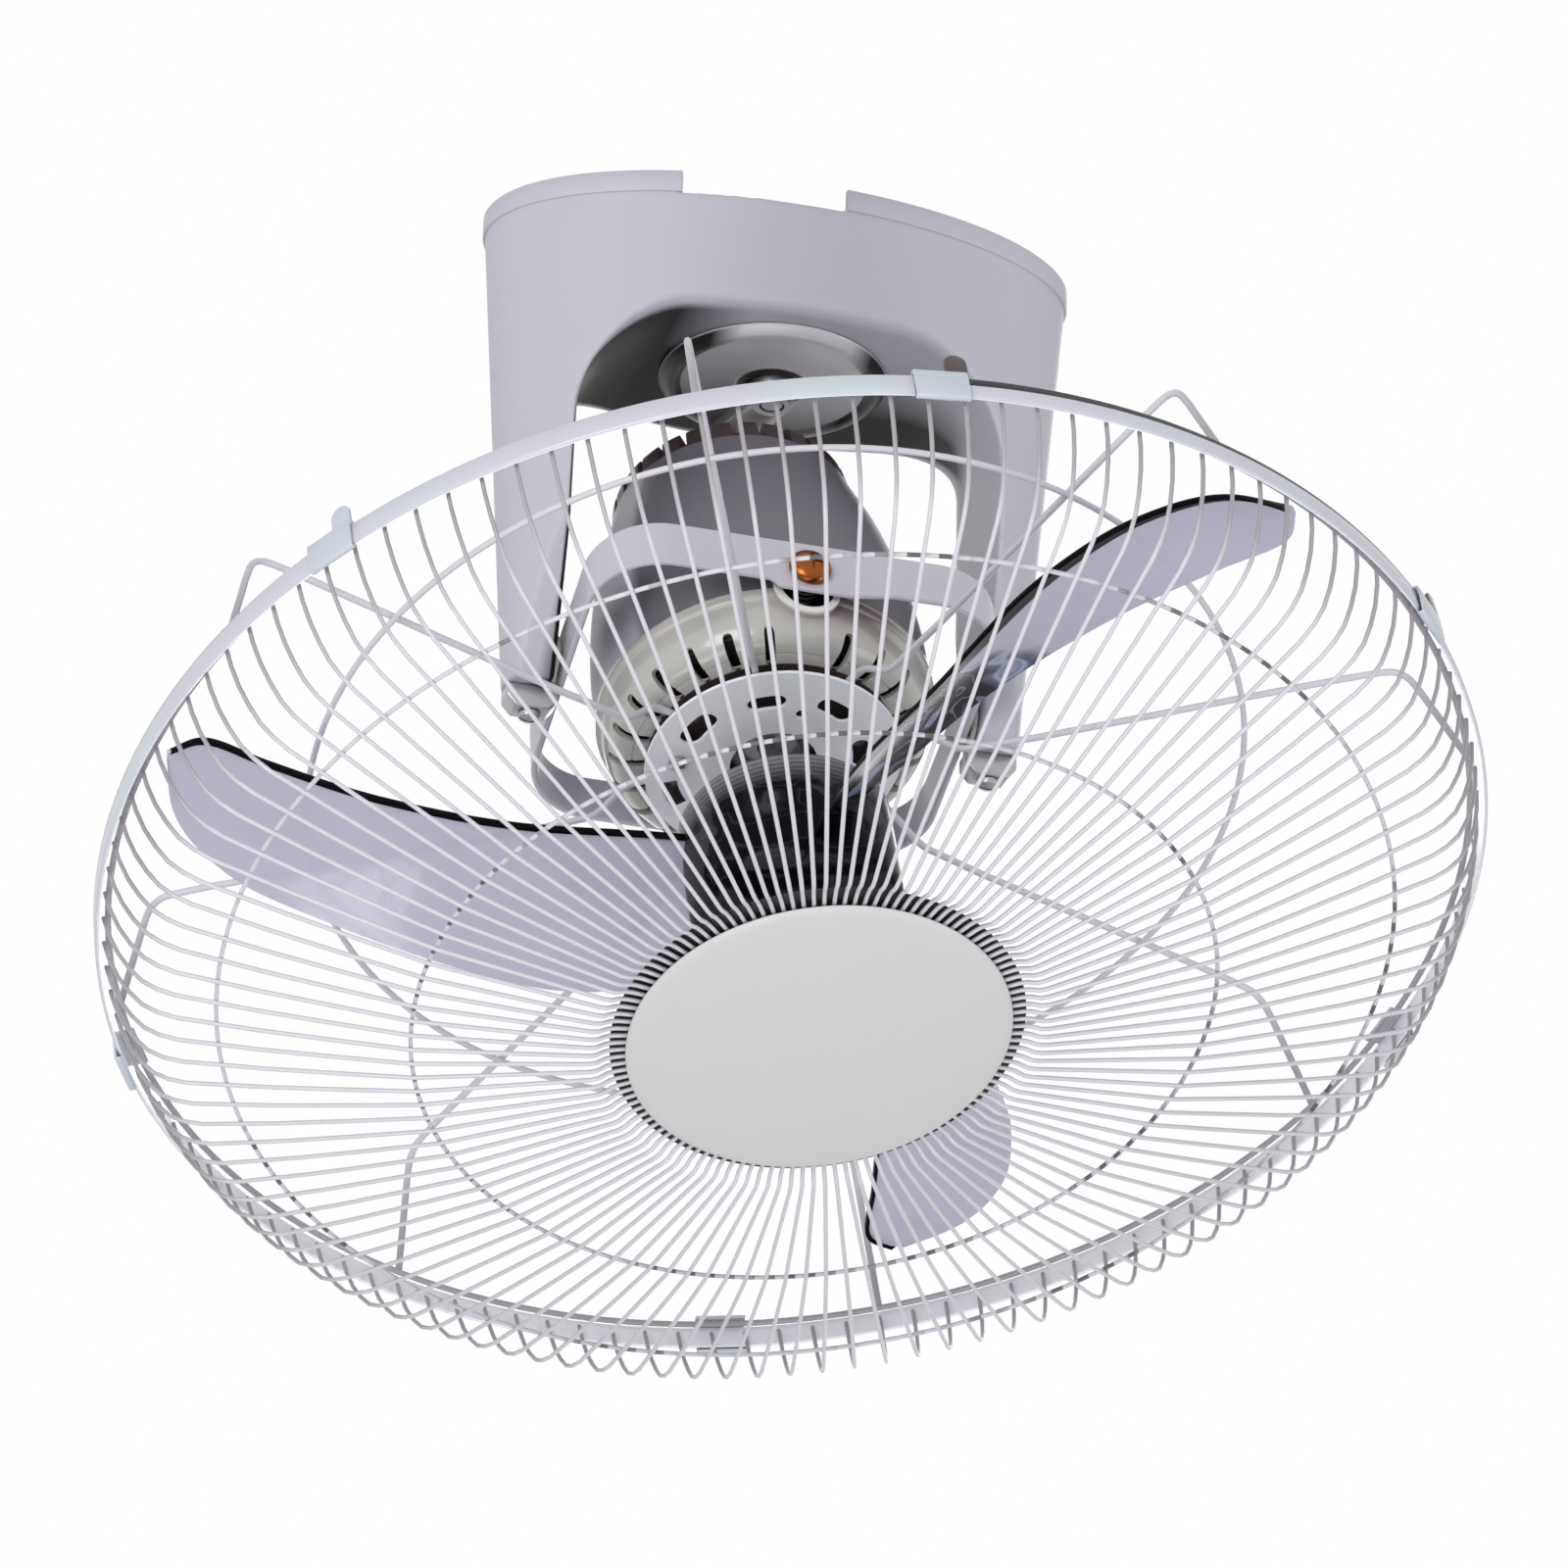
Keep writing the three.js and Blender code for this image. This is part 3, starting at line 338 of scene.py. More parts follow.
@dataclass(frozen=True)
class Finish:
    """A painted or moulded surface: colour, gloss, orange peel and faint mottling."""

    name: str
    colour: Colour
    slot: str
    roughness: float = 0.4
    metallic: float = 0.0
    mottling: float = 0.04
    mottle_scale: float = 14.0
    grain_scale: float = 900.0
    grain_height: float = 0.00004
    coat: float = 0.0
    coat_roughness: float = 0.12
    alpha: float = 1.0
    specular: float = 0.5

    def tones(self, shader: Shader, share: Value, low: float | None = None,
              high: float | None = None) -> bpy.types.NodeSocket:
        """Runs the colour from one tone to another.

        Args:
            shader: The material's shader.
            share: How far towards the second tone, from 0 to 1.
            low: The first tone, or None for the mottling's dark side.
            high: The second tone, or None for the mottling's pale side.

        Returns:
            The colour.
        """
        first = 1 - self.mottling if low is None else low
        last = 1 + self.mottling if high is None else high
        return shader.mix(share, shade(self.colour, first), shade(self.colour, last))

    def gloss(self, share: Value, low: float = 0.85, swing: float = 0.3) -> Value:
        """Runs the roughness up from a low share of its own value, by a swing."""
        return self.roughness * low + share * (self.roughness * swing)

    def peel(self, shader: Shader, strength: float = 0.3) -> None:
        """Adds the orange peel."""
        shader.bump(shader.noise(self.grain_scale, 2.0), strength, self.grain_height)

    def build(self) -> bpy.types.Material:
        """Builds the material."""
        shader = Shader(self.name)
        cloud = shader.noise(self.mottle_scale, 3.0)
        speck = shader.noise(self.mottle_scale * 9, 4.0)
        shader.set(
            Base_Color=self.tones(shader, cloud * 0.7 + speck * 0.3),
            Roughness=self.gloss(speck),
            Metallic=self.metallic,
            Coat_Weight=self.coat,
            Coat_Roughness=self.coat_roughness,
            Specular_IOR_Level=self.specular,
        )
        self.peel(shader, 0.35)
        return shader.material


@dataclass(frozen=True)
class Turned(Finish):
    """Bare or plated metal with fine drawn or turned lines."""

    line_scale: float = 420.0
    stain_scale: float = 60.0
    stretch: tuple[float, float, float] = (1, 1, 14)

    def build(self) -> bpy.types.Material:
        """Builds the material."""
        shader = Shader(self.name)
        lines = shader.noise(self.line_scale, 3.0, self.stretch)
        stain = shader.noise(self.stain_scale, 4.0)
        shader.set(
            Base_Color=self.tones(shader, stain, 0.78, 1.12),
            Metallic=self.metallic,
            Roughness=self.gloss(lines, 0.7, 0.6),
        )
        shader.bump(lines, 0.3, 0.00006)
        return shader.material


@dataclass(frozen=True)
class Smoky(Finish):
    """Clear tinted plastic: glossy, a little see-through, with faint flow clouds."""

    flow_scale: float = 24.0

    def build(self) -> bpy.types.Material:
        """Builds the material."""
        shader = Shader(self.name)
        flow = shader.noise(self.flow_scale, 2.0)
        shader.set(
            Base_Color=self.tones(shader, flow),
            Roughness=self.roughness + shader.noise(160, 3.0) * 0.04,
            Alpha=self.alpha - 0.05 + flow * 0.1,
            Coat_Weight=self.coat,
            Coat_Roughness=self.coat_roughness,
            IOR=1.5,
        )
        shader.bump(flow, 0.2, 0.0004)
        return shader.material


@dataclass(frozen=True)
class Laminated(Finish):
    """A stack of thin steel sheets, seen edge-on."""

    pitch: float = 0.9
    stain_scale: float = 50.0

    def build(self) -> bpy.types.Material:
        """Builds the material."""
        shader = Shader(self.name)
        height = shader.local(TO_HEAD)[2]
        stripes = (height * (TURN / self.pitch)).sine() * 0.5 + 0.5
        stain = shader.noise(self.stain_scale, 4.0)
        shader.set(
            Base_Color=self.tones(shader, stripes * 0.6 + stain * 0.4, 0.5, 1.3),
            Metallic=self.metallic,
            Roughness=0.45 + stain * 0.2,
        )
        shader.bump(stripes, 0.6, 0.00015)
        return shader.material


@dataclass(frozen=True)
class CanopyPaint(Finish):
    """Canopy paint: pale outside, with painted shade where the arch turns inwards and painted
    light that darkens the middle.

    Each pair is the range, in millimetres, over which its part of the painted shade grows, save
    the last, over which the painted light pales towards the ends.
    """

    shadow: Colour = srgb(20, 13, 15)
    wall_scale: float = 50.0
    inside_wall: Point2 = (3.15, 7.0)
    below_floor: Point2 = (39.2, 44.2)
    drift: float = 8.0
    left_x: Point2 = (20.0, 46.0)
    rear_y: Point2 = (-8.0, 24.0)
    rear_z: Point2 = (-64.0, -54.0)
    right_x: Point2 = (30.0, 60.0)
    right_y: Point2 = (6.0, 34.0)
    right_z: Point2 = (-92.0, -58.0)
    arm_x: Point2 = (72.2, 71.4)
    arm_from_x: float = 60.0
    arm_z: Point2 = (-76.0, -92.0)
    painted_light_x: float = 8.0
    painted_light_reach: Point2 = (7.071, 70.711)

    def painted_shade(self, shader: Shader, cloud: Value) -> Value:
        """Works out how dark the painted shade makes each point of the arch's inner faces, with a
        thin dark band down the left arm.

        Args:
            shader: The material's shader.
            cloud: The noise that breaks up the shadow's edges.

        Returns:
            The darkness, from 0 to 1.
        """
        x, y, z = shader.local(TO_WORLD)
        half_a = (z + RIM_HEIGHT) * WALL_TAPER.x + (RIM_A - RIM_STEP)
        half_b = (z + RIM_HEIGHT) * WALL_TAPER.y + (RIM_B - RIM_STEP)
        share = (x * half_a.power(-1.0)).reach(y * half_b.power(-1.0))
        inside = ((1 - share) * self.wall_scale).spread(*self.inside_wall)
        left = (-x + cloud * self.drift).spread(*self.left_x)
        rear = (y + cloud * self.drift).spread(*self.rear_y) * z.spread(*self.rear_z)
        right = x.spread(*self.right_x) * y.spread(*self.right_y) * z.spread(*self.right_z)
        arm = (-x).spread(*self.arm_x) * (-x).over(self.arm_from_x) * z.spread(*self.arm_z)
        arch = (left + rear + right * 0.8 + 0.04) * inside * (-z).spread(*self.below_floor)
        return (arch + arm).spread(0, 1)

    def build(self) -> bpy.types.Material:
        """Builds the material."""
        shader = Shader(self.name)
        cloud = shader.noise(self.mottle_scale, 3.0)
        # Painted light: the paint is darker near the middle and paler towards both ends.
        away = (shader.local(TO_WORLD)[0] - self.painted_light_x).size().spread(*self.painted_light_reach)
        paint = self.tones(shader, away + (cloud - 0.5) * self.mottling, 0.86, 1.08)
        shader.set(
            # Painted shade: the shadow colour where the arch turns inwards.
            Base_Color=shader.mix(self.painted_shade(shader, cloud), paint, shade(self.shadow, 1)),
            Roughness=self.gloss(cloud, 0.9, 0.2),
            Coat_Weight=self.coat,
            Specular_IOR_Level=self.specular,
        )
        self.peel(shader, 0.35)
        return shader.material


@dataclass(frozen=True)
class BossPaint(Finish):
    """Grey satin on the boss, with painted shade: a dark centre hole, a bevel that darkens at its
    sides, and paint that darkens towards the rear.
    """

    bevel: Colour = srgb(36, 30, 31)
    middle: Colour = srgb(44, 38, 38)
    shaded_hole: Point2 = (12.2, 11.6)
    bevel_from: Point2 = (30.2, 30.6)
    bevel_to: Point2 = (37.6, 37.2)
    bevel_shade_x: Point2 = (18.385, 26.870)
    painted_light_slope: Point2 = (-14.0, 34.0)
    line_scale: float = 300.0

    def build(self) -> bpy.types.Material:
        """Builds the material."""
        shader = Shader(self.name)
        x, y, _ = shader.local(TO_WORLD)
        away = x.reach(y)
        lines = shader.noise(self.line_scale, 3.0)
        # Painted light: the paint darkens towards the rear.
        tint = self.tones(shader, (y - x * 0.5).spread(*self.painted_light_slope), 1.06, 0.4)
        # Painted shade on the bevel's sides.
        slope = away.spread(*self.bevel_from) * away.spread(*self.bevel_to)
        tint = shader.mix(slope * x.size().spread(*self.bevel_shade_x), tint, shade(self.bevel, 0.6))
        shader.set(
            # Painted shade: the centre hole is dark.
            Base_Color=shader.mix(away.spread(*self.shaded_hole), tint, shade(self.middle, 1)),
            Metallic=self.metallic,
            Roughness=self.roughness + lines * 0.1,
        )
        shader.bump(lines, 0.2, 0.00003)
        return shader.material


@dataclass(frozen=True)
class MotorPaint(Finish):
    """Motor enamel with painted reflections in soft clouds, painted shade on its far side and
    inside the pins' sockets, and a ring round each socket's mouth, a painted highlight on the
    front cover and painted shade on the rear.

    The far side's painted shade grows over two ranges of azimuth, in degrees; the other pairs, its
    height range among them, are in millimetres.
    """

    far: Colour = (0.1, 0.1, 0.1)
    far_shade_turn: Point2 = (0.0, 1.0)
    far_shade_back: Point2 = (-4.0, -3.9)
    far_shade_height: Point2 = (-200.0, -199.0)
    reflection_depth: float = 0.25
    cloud_scale: float = 26.0
    speck_scale: float = 260.0
    ragged: float = 6.0
    crown: float = 200.0
    lip: Colour = srgb(222, 220, 218)
    behind: float = 0.0
    behind_z: Point2 = (-24.6, -25.0)
    socket_shade: Point2 = (8.9, 8.5)
    socket_shade_y: Point2 = (42.426, 43.841)
    lip_from: Point2 = (8.6, 9.0)
    lip_to: Point2 = (11.5, 11.2)
    lip_y: Point2 = (54.094, 54.801)
    coat_roughness: float = 0.08

    def enamel_and_painted_light(self, shader: Shader, cloud: Value) -> bpy.types.NodeSocket:
        """Paints the enamel with its painted reflections, the painted shade on its far side, its
        dark crown and the painted shade behind the slots.

        Args:
            shader: The material's shader.
            cloud: The noise of the painted reflections.

        Returns:
            The colour.
        """
        x, y, z = shader.local(TO_HEAD)
        turn = y.bearing(x)
        # Painted reflections: soft swirls of paler and darker enamel round the axis.
        level = (turn * 0.05 + cloud * 5).sine() * 0.5 + 0.5
        speck = shader.noise(self.speck_scale, 3.0)
        tint = self.tones(shader, level * 0.8 + speck * 0.2,
                          1 - self.reflection_depth, 1 + self.reflection_depth * 0.5)
        # Painted shade: darker on the far side, and on the inner faces seen through the slots.
        away = (turn + cloud * self.ragged).spread(*self.far_shade_turn) * turn.spread(*self.far_shade_back)
        inside = x.reach(y).spread(self.behind + 0.4, self.behind) * z.spread(*self.behind_z)
        for share, colour in ((away * z.spread(*self.far_shade_height), shade(self.far, 1)),
                              (z.spread(self.crown, self.crown + 0.6), shade(CROWN_BROWN, 1)),
                              (inside, shade(CROWN_BROWN, 0.7))):
            tint = shader.mix(share, tint, colour)
        return tint

    def build(self) -> bpy.types.Material:
        """Builds the material."""
        shader = Shader(self.name)
        x, y, z = shader.local(TO_HEAD)
        cloud = shader.noise(self.cloud_scale, 2.0, (1, 1, 0.5))
        drop = z - PIN_IN_HEAD.z
        slid = (drop.spread(-SOCKET_SLIDE, 0) - 1) * SOCKET_SLIDE
        away = (x - PIN_IN_HEAD.x).reach(drop - slid)
        out = y.size()
        # A ring round each socket's mouth: painted highlight on the front cover, painted shade on
        # the rear.
        lip = away.spread(*self.lip_from) * away.spread(*self.lip_to) * out.spread(*self.lip_y)
        tint = shader.mix(lip, self.enamel_and_painted_light(shader, cloud), shade(self.lip, 1))
        # Painted shade inside the pins' sockets.
        socket_shade = away.spread(*self.socket_shade) * out.spread(*self.socket_shade_y)
        shader.set(
            Base_Color=shader.mix(socket_shade, tint, shade(SOCKET_SHADE_BROWN, 1)),
            Roughness=self.gloss(cloud, 0.8, 0.4),
            Coat_Weight=self.coat,
            Coat_Roughness=self.coat_roughness,
        )
        self.peel(shader)
        return shader.material


@dataclass(frozen=True)
class WirePaint(Finish):
    """Wire enamel, with painted shade that greys the skirt behind the guard's bend, and painted
    shadows on the cross rings where the wires pass.
    """

    skirt: Colour = srgb(138, 135, 139)
    skirt_from: Point2 = (200.0, 212.0)
    crossing_shadow_depth: float = 0.0
    dash_count: int = 120
    coat_roughness: float = 0.15

    def build(self) -> bpy.types.Material:
        """Builds the material."""
        shader = Shader(self.name)
        x, y, _ = shader.local(TO_HEAD)
        cloud = shader.noise(self.mottle_scale, 3.0)
        # Painted shade: the wires turn grey beyond the bend.
        skirt = x.reach(y).spread(*self.skirt_from) * (cloud * 0.5 + 0.5)
        # Painted shadows of the crossing wires, one for each wire round the ring.
        waves = (y.bearing(x) * math.radians(self.dash_count)).sine()
        crossing_shadow = waves.spread(0.1, 0.4) * cloud.spread(0.46, 0.54) * self.crossing_shadow_depth
        paint = shader.mix(crossing_shadow, self.tones(shader, cloud), shade(CROWN_BROWN, 0.6))
        shader.set(
            Base_Color=shader.mix(skirt, paint, shade(self.skirt, 1)),
            Roughness=self.gloss(cloud),
            Coat_Weight=self.coat,
            Coat_Roughness=self.coat_roughness,
        )
        self.peel(shader)
        return shader.material


@dataclass(frozen=True)
class HoopPaint(Finish):
    """Hoop enamel with a black band of painted shade behind its rear edge, from one clip to
    another, and painted light on its inner face.
    """

    strip: Point2 = (-92.5, -42.5)
    strip_height: Point2 = (3.3, 0.9)
    strip_radius: float = 219.2
    strip_shade: Colour = (0.008, 0.008, 0.012)
    inner: Colour = srgb(246, 248, 253)
    lit_inner_radius: Point2 = (219.4, 219.0)
    patches: Colour = srgb(192, 205, 209)
    coat_roughness: float = 0.1

    def build(self) -> bpy.types.Material:
        """Builds the material."""
        shader = Shader(self.name)
        x, y, z = shader.local(TO_HEAD)
        reach, turn = x.reach(y), y.bearing(x)
        cloud = shader.noise(self.mottle_scale, 3.0)
        first, last = self.strip
        high, low = self.strip_height
        # Painted shade: a black band along the rear edge between two clips.
        edge = turn.spread(first, last) * (high - low) + (HOOP_REAR - 0.3 - high)
        along = turn.over(first) * (1 - turn.over(last))
        black = z.over(edge) * along * reach.over(self.strip_radius)
        paint = shader.mix(cloud.spread(0.56, 0.62) * 0.6, self.tones(shader, cloud),
                           shade(self.patches, 1))
        # Painted light on the hoop's inner face.
        paint = shader.mix(reach.spread(*self.lit_inner_radius), paint, shade(self.inner, 1))
        shader.set(
            Base_Color=shader.mix(black, paint, shade(self.strip_shade, 1)),
            Roughness=self.gloss(cloud),
            Coat_Weight=(1 - black) * self.coat,
            Coat_Roughness=self.coat_roughness,
            Specular_IOR_Level=self.specular,
        )
        return shader.material


@dataclass(frozen=True)
class Marbled(Finish):
    """Dark glossy plastic with pale and blue wisps, clear and pale beyond a reach."""

    wisps: Colour = (0.4, 0.42, 0.55)
    amount: float = 0.5
    beyond: Colour = (0.4, 0.4, 0.5)
    until: float = 300.0
    rim: Point2 = (200.0, 201.0)
    coat_roughness: float = 0.03
    swirl_scale: float = 17.0
    distortion: float = 2.6
    streak_turns: float = 46.0
    line_turns: float = 3.4
    ragged: float = 22.0
    clearer: float = 0.16

    def build(self) -> bpy.types.Material:
        """Builds the material."""
        shader = Shader(self.name)
        x, y, z = shader.local(TO_HEAD)
        swirl = shader.noise(self.swirl_scale, 1.6, (1, 1, 1.8), self.distortion)
        streaks = (swirl * self.streak_turns).sine().spread(0.82, 0.99)
        veil = swirl.spread(0.52, 0.62) * 0.7 + streaks * 0.4
        lines = (z * self.line_turns).sine() * 0.25 + 0.75
        veil = (veil * self.amount + z.spread(*self.rim) * lines).spread(0, 1)
        pale = (x.reach(y) + swirl * self.ragged).spread(self.until + 8, self.until + 12)
        dark = shader.mix(veil, shade(self.colour, 1), shade(self.wisps, 1))
        shader.set(
            Base_Color=shader.mix(pale, dark, shade(self.beyond, 1)),
            Roughness=self.roughness + swirl * 0.06,
            Alpha=self.alpha - pale * self.clearer,
            Coat_Weight=self.coat,
            Coat_Roughness=self.coat_roughness,
            IOR=1.5,
            Specular_IOR_Level=self.specular,
        )
        shader.bump(swirl, 0.25, 0.0005)
        return shader.material


class Look(Enum):
    """Every finish on the fan."""

    CANOPY = CanopyPaint("canopy_satin", srgb(182, 180, 190), "canopy_paint", 0.42,
                         mottling=0.4, specular=0.15)
    BOSS = BossPaint("boss_satin", srgb(180, 178, 183), "canopy_paint", 0.34, metallic=0.2)
    WIRE = WirePaint("wire_enamel", srgb(204, 201, 209), "guard_wire", 0.42, mottling=0.02,
                     grain_scale=1500, coat=0.1)
    CROSS = WirePaint("cross_wire_enamel", srgb(204, 201, 209), "guard_wire", 0.42,
                      mottling=0.02, grain_scale=1500, coat=0.1, crossing_shadow_depth=0.85)
    HOOP = HoopPaint("hoop_enamel", srgb(196, 196, 207), "guard_wire", 0.3, mottling=0.02,
                     coat=0.3, specular=0.3)
    CLIP = Finish("clip_enamel", srgb(190, 197, 206), "guard_wire", 0.35, mottling=0.03)
    # Painted shade: the clip tabs that stand in shade are darker than the others.
    TAB = Finish("clip_tab_shaded", srgb(66, 54, 56), "guard_wire", 0.3, mottling=0.1, coat=0.3)
    CAP = Finish("cap_satin", srgb(199, 199, 199), "cap_plastic", 0.45, mottling=0.012,
                 grain_scale=1600, grain_height=0.00002)
    RING = Finish("ring_enamel", srgb(188, 186, 196), "ring_paint", 0.35, mottling=0.02)
    MOTOR_FRONT = MotorPaint("motor_front_enamel", srgb(182, 180, 175), "motor_front_paint",
                             0.24, coat=0.6, far=srgb(116, 102, 104), far_shade_turn=(-104, -84),
                             far_shade_back=(-48, -62), far_shade_height=(-22, -12), reflection_depth=0.12,
                             behind=40.0)
    MOTOR_REAR = MotorPaint("motor_rear_enamel", srgb(172, 170, 180), "motor_rear_paint", 0.42,
                            far=srgb(104, 101, 110), far_shade_turn=(-152, -147), far_shade_back=(60, 40),
                            reflection_depth=0.24, crown=78.0, lip=srgb(128, 122, 124))
    PLATE = Finish("plate_enamel", srgb(242, 245, 250), "plate_paint", 0.35, mottling=0.02)
    BLADE = Smoky("blade_smoky", srgb(192, 191, 211), "blade_plastic", 0.14, mottling=0.05,
                  coat=0.4, coat_roughness=0.03, alpha=0.82)
    # Painted reflection: the dark line seen along a clear blade's edge.
    EDGE = Finish("blade_edge_reflection", srgb(6, 6, 9), "blade_plastic", 0.3, mottling=0.2,
                  specular=0.04)
    HUB = Marbled("hub_smoky", srgb(12, 12, 17), "blade_plastic", 0.16,
                  wisps=srgb(136, 134, 142), amount=0.22, rim=(-71.0, -61.0), specular=0.04)
    ROOT = Marbled("blade_root_marbled", srgb(12, 12, 20), "blade_plastic", 0.2,
                   alpha=0.98, specular=0.04, wisps=srgb(172, 178, 212), amount=1.0,
                   beyond=srgb(192, 191, 211), until=113.0)
    BLACK = Finish("black_moulded", srgb(26, 26, 30), "black_plastic", 0.5, mottling=0.1)
    STEEL = Turned("zinc_steel", srgb(176, 176, 180), "mount_steel", 0.35, 0.85)
    DARK_STEEL = Turned("oiled_steel", srgb(96, 94, 96), "mount_steel", 0.4, 0.9)
    BRASS = Turned("copper_pin", srgb(150, 84, 40), "pin_brass", 0.22, 0.95)
    CORE = Laminated("lamination_stack", srgb(84, 86, 92), "lamination", 0.5, 0.7)
    COPPER = Turned("copper_winding", srgb(160, 84, 44), "copper_wire", 0.35, 0.6,
                    stretch=(1, 1, 22))
    NYLON = Finish("nylon_natural", srgb(214, 210, 198), "nylon", 0.45, mottling=0.03)

    @property
    def material(self) -> bpy.types.Material:
        """The finish's material, built once."""
        known = bpy.data.materials.get(self.value.name)
        return known or self.value.build()


# ---------------------------------------------------------------- mesh helpers
Ring = Sequence[Vector]


def add_object(name: str, data: bpy.types.ID) -> bpy.types.Object:
    """Makes an object from its data, linked to the scene."""
    made = bpy.data.objects.new(name, data)
    bpy.context.scene.collection.objects.link(made)
    return made


def mesh_object(name: str, vertices: Iterable[Sequence[float]], faces: Iterable[Sequence[int]],
                edges: Iterable[Sequence[int]] = ()) -> bpy.types.Object:
    """Makes an object from plain lists.

    Args:
        name: The object's name.
        vertices: Its vertices.
        faces: Its faces, as lists of vertex numbers.
        edges: Its loose edges.

    Returns:
        The object, linked to the scene.
    """
    mesh = bpy.data.meshes.new(name)
    mesh.from_pydata([tuple(v) for v in vertices], list(edges), list(faces))
    return add_object(name, mesh)


def outward(piece: bpy.types.Object) -> bpy.types.Object:
    """Merges doubles and turns every face of a closed mesh outwards.

    Args:
        piece: The mesh object.

    Returns:
        The same object.
    """
    work = bmesh.new()
    work.from_mesh(piece.data)
    bmesh.ops.remove_doubles(work, verts=work.verts, dist=1e-4)
    bmesh.ops.recalc_face_normals(work, faces=work.faces)
    work.to_mesh(piece.data)
    work.free()
    return piece


def loft(name: str, rings: Sequence[Ring], closed: bool = False) -> bpy.types.Object:
    """Skins rings of equal point count.

    Args:
        name: The object's name.
        rings: The rings, in order.
        closed: True joins the last ring to the first, and False caps both ends.

    Returns:
        The closed skin.
    """
    count, total = len(rings[0]), len(rings)
    faces: list[list[int]] = []
    for row in range(total if closed else total - 1):
        here, there = row * count, (row + 1) % total * count
        for i in range(count):
            j = (i + 1) % count
            faces.append([here + i, here + j, there + j, there + i])
    if not closed:
        faces += [list(range(count))[::-1], [(total - 1) * count + i for i in range(count)]]
    return outward(mesh_object(name, (point for ring in rings for point in ring), faces))


def polar(radius: float, angle: float, centre: Point2 = (0, 0)) -> Point2:
    """Gives the point at a radius and an angle, in radians, from a centre."""
    return centre[0] + radius * math.cos(angle), centre[1] + radius * math.sin(angle)


def lathe(name: str, profile: Sequence[Point2], segments: int = 96) -> bpy.types.Object:
    """Turns a closed outline of (radius, height) round Z.

    Args:
        name: The object's name.
        profile: The outline; points on the axis become one pole.
        segments: Steps round the turn.

    Returns:
        The closed skin.
    """
    return loft(name, [[Vector((*polar(r, TURN * step / segments), z)) for r, z in profile]
                       for step in range(segments)], closed=True)


def prism(name: str, outline: Iterable[Point2], axis: int, start: float,
          end: float) -> bpy.types.Object:
    """Stretches an outline along one axis.

    Args:
        name: The object's name.
        outline: Its points, in the order of the other two axes.
        axis: 0, 1 or 2 for X, Y or Z.
        start: Where the solid starts along the axis.
        end: Where it ends.

    Returns:
        The closed solid.
    """
    points = list(outline)
    return loft(name, [[Vector((*p[:axis], depth, *p[axis:])) for p in points]
                       for depth in (start, end)])


def slide(first: Vector, second: Vector, start: float, end: float, now: float) -> Vector:
    """Moves from one point to another as a value goes from start to end.

    Args:
        first: The point at the start.
        second: The point at the end.
        start: The value at the first point.
        end: The value at the second point.
        now: The value between or beyond them.

    Returns:
        The point on their line.
    """
    return first.lerp(second, (now - start) / (end - start))


def smooth_curve(points: Sequence[Sequence[float]], steps: int) -> list[Vector]:
    """Runs a centripetal curve through points.

    Args:
        points: The points, as pairs or triples.
        steps: Steps between each two points.

    Returns:
        The points of the curve, with both ends.
    """
    known = [Vector(tuple(p) + (0.0,) * (3 - len(p))) for p in points]
    known = [known[0] * 2 - known[1], *known, known[-1] * 2 - known[-2]]
    curve = []
    for a, b, c, d in zip(known, known[1:], known[2:], known[3:]):
        at_b = max((b - a).length, 1e-6) ** 0.5
        at_c = at_b + max((c - b).length, 1e-6) ** 0.5
        at_d = at_c + max((d - c).length, 1e-6) ** 0.5
        for step in range(steps):
            now = at_b + (at_c - at_b) * step / steps
            ab = slide(a, b, 0.0, at_b, now)
            bc = slide(b, c, at_b, at_c, now)
            cd = slide(c, d, at_c, at_d, now)
            early = slide(ab, bc, 0.0, at_c, now)
            late = slide(bc, cd, at_b, at_d, now)
            curve.append(slide(early, late, at_b, at_c, now))
    curve.append(known[-2])
    return curve


def flat_curve(points: Sequence[Point2], steps: int) -> list[Point2]:
    """Runs the same curve through pairs, and gives pairs."""
    return [(p.x, p.y) for p in smooth_curve(points, steps)]


def bezier(knots: Sequence[Point2], steps: int) -> list[Point2]:
    """Runs a cubic curve along four knots.

    Args:
        knots: The start, two pulls and the end.
        steps: Steps along it.

    Returns:
        The points of the curve, with both ends.
    """
    points = []
    for i in range(steps + 1):
        t = i / steps
        weights = ((1 - t) ** 3, 3 * t * (1 - t) ** 2, 3 * t * t * (1 - t), t ** 3)
        points.append(tuple(sum(w * knot[axis] for w, knot in zip(weights, knots))
                            for axis in (0, 1)))
    return points


def tube(name: str, path: Sequence[Vector], radius: float, sides: int = 10,
         closed: bool = False) -> bpy.types.Object:
    """Runs a round wire along a path.

    Args:
        name: The object's name.
        path: The wire's middle line.
        radius: The wire's radius.
        sides: Sides of its cross-section.
        closed: True where the path joins up.

    Returns:
        The wire.
    """
    rings = []
    normal = None
    for i, point in enumerate(path):
        before = path[i - 1] if closed or i else path[0]
        after = path[(i + 1) % len(path)] if closed or i + 1 < len(path) else path[-1]
        way = (after - before).normalized()
        if normal is None:
            normal = way.orthogonal().normalized()
        normal = (normal - way * normal.dot(way)).normalized()
        across = way.cross(normal)
        rings.append([point + (normal * math.cos(TURN * k / sides)
                               + across * math.sin(TURN * k / sides)) * radius
                      for k in range(sides)])
    return loft(name, rings, closed)


def oval(half_a: float, half_b: float, z: float, count: int = 160) -> list[Vector]:
    """Gives the points of an oval round Z, from its half length and half depth."""
    turns = [TURN * i / count for i in range(count)]
    return [Vector((half_a * math.cos(turn), half_b * math.sin(turn), z)) for turn in turns]


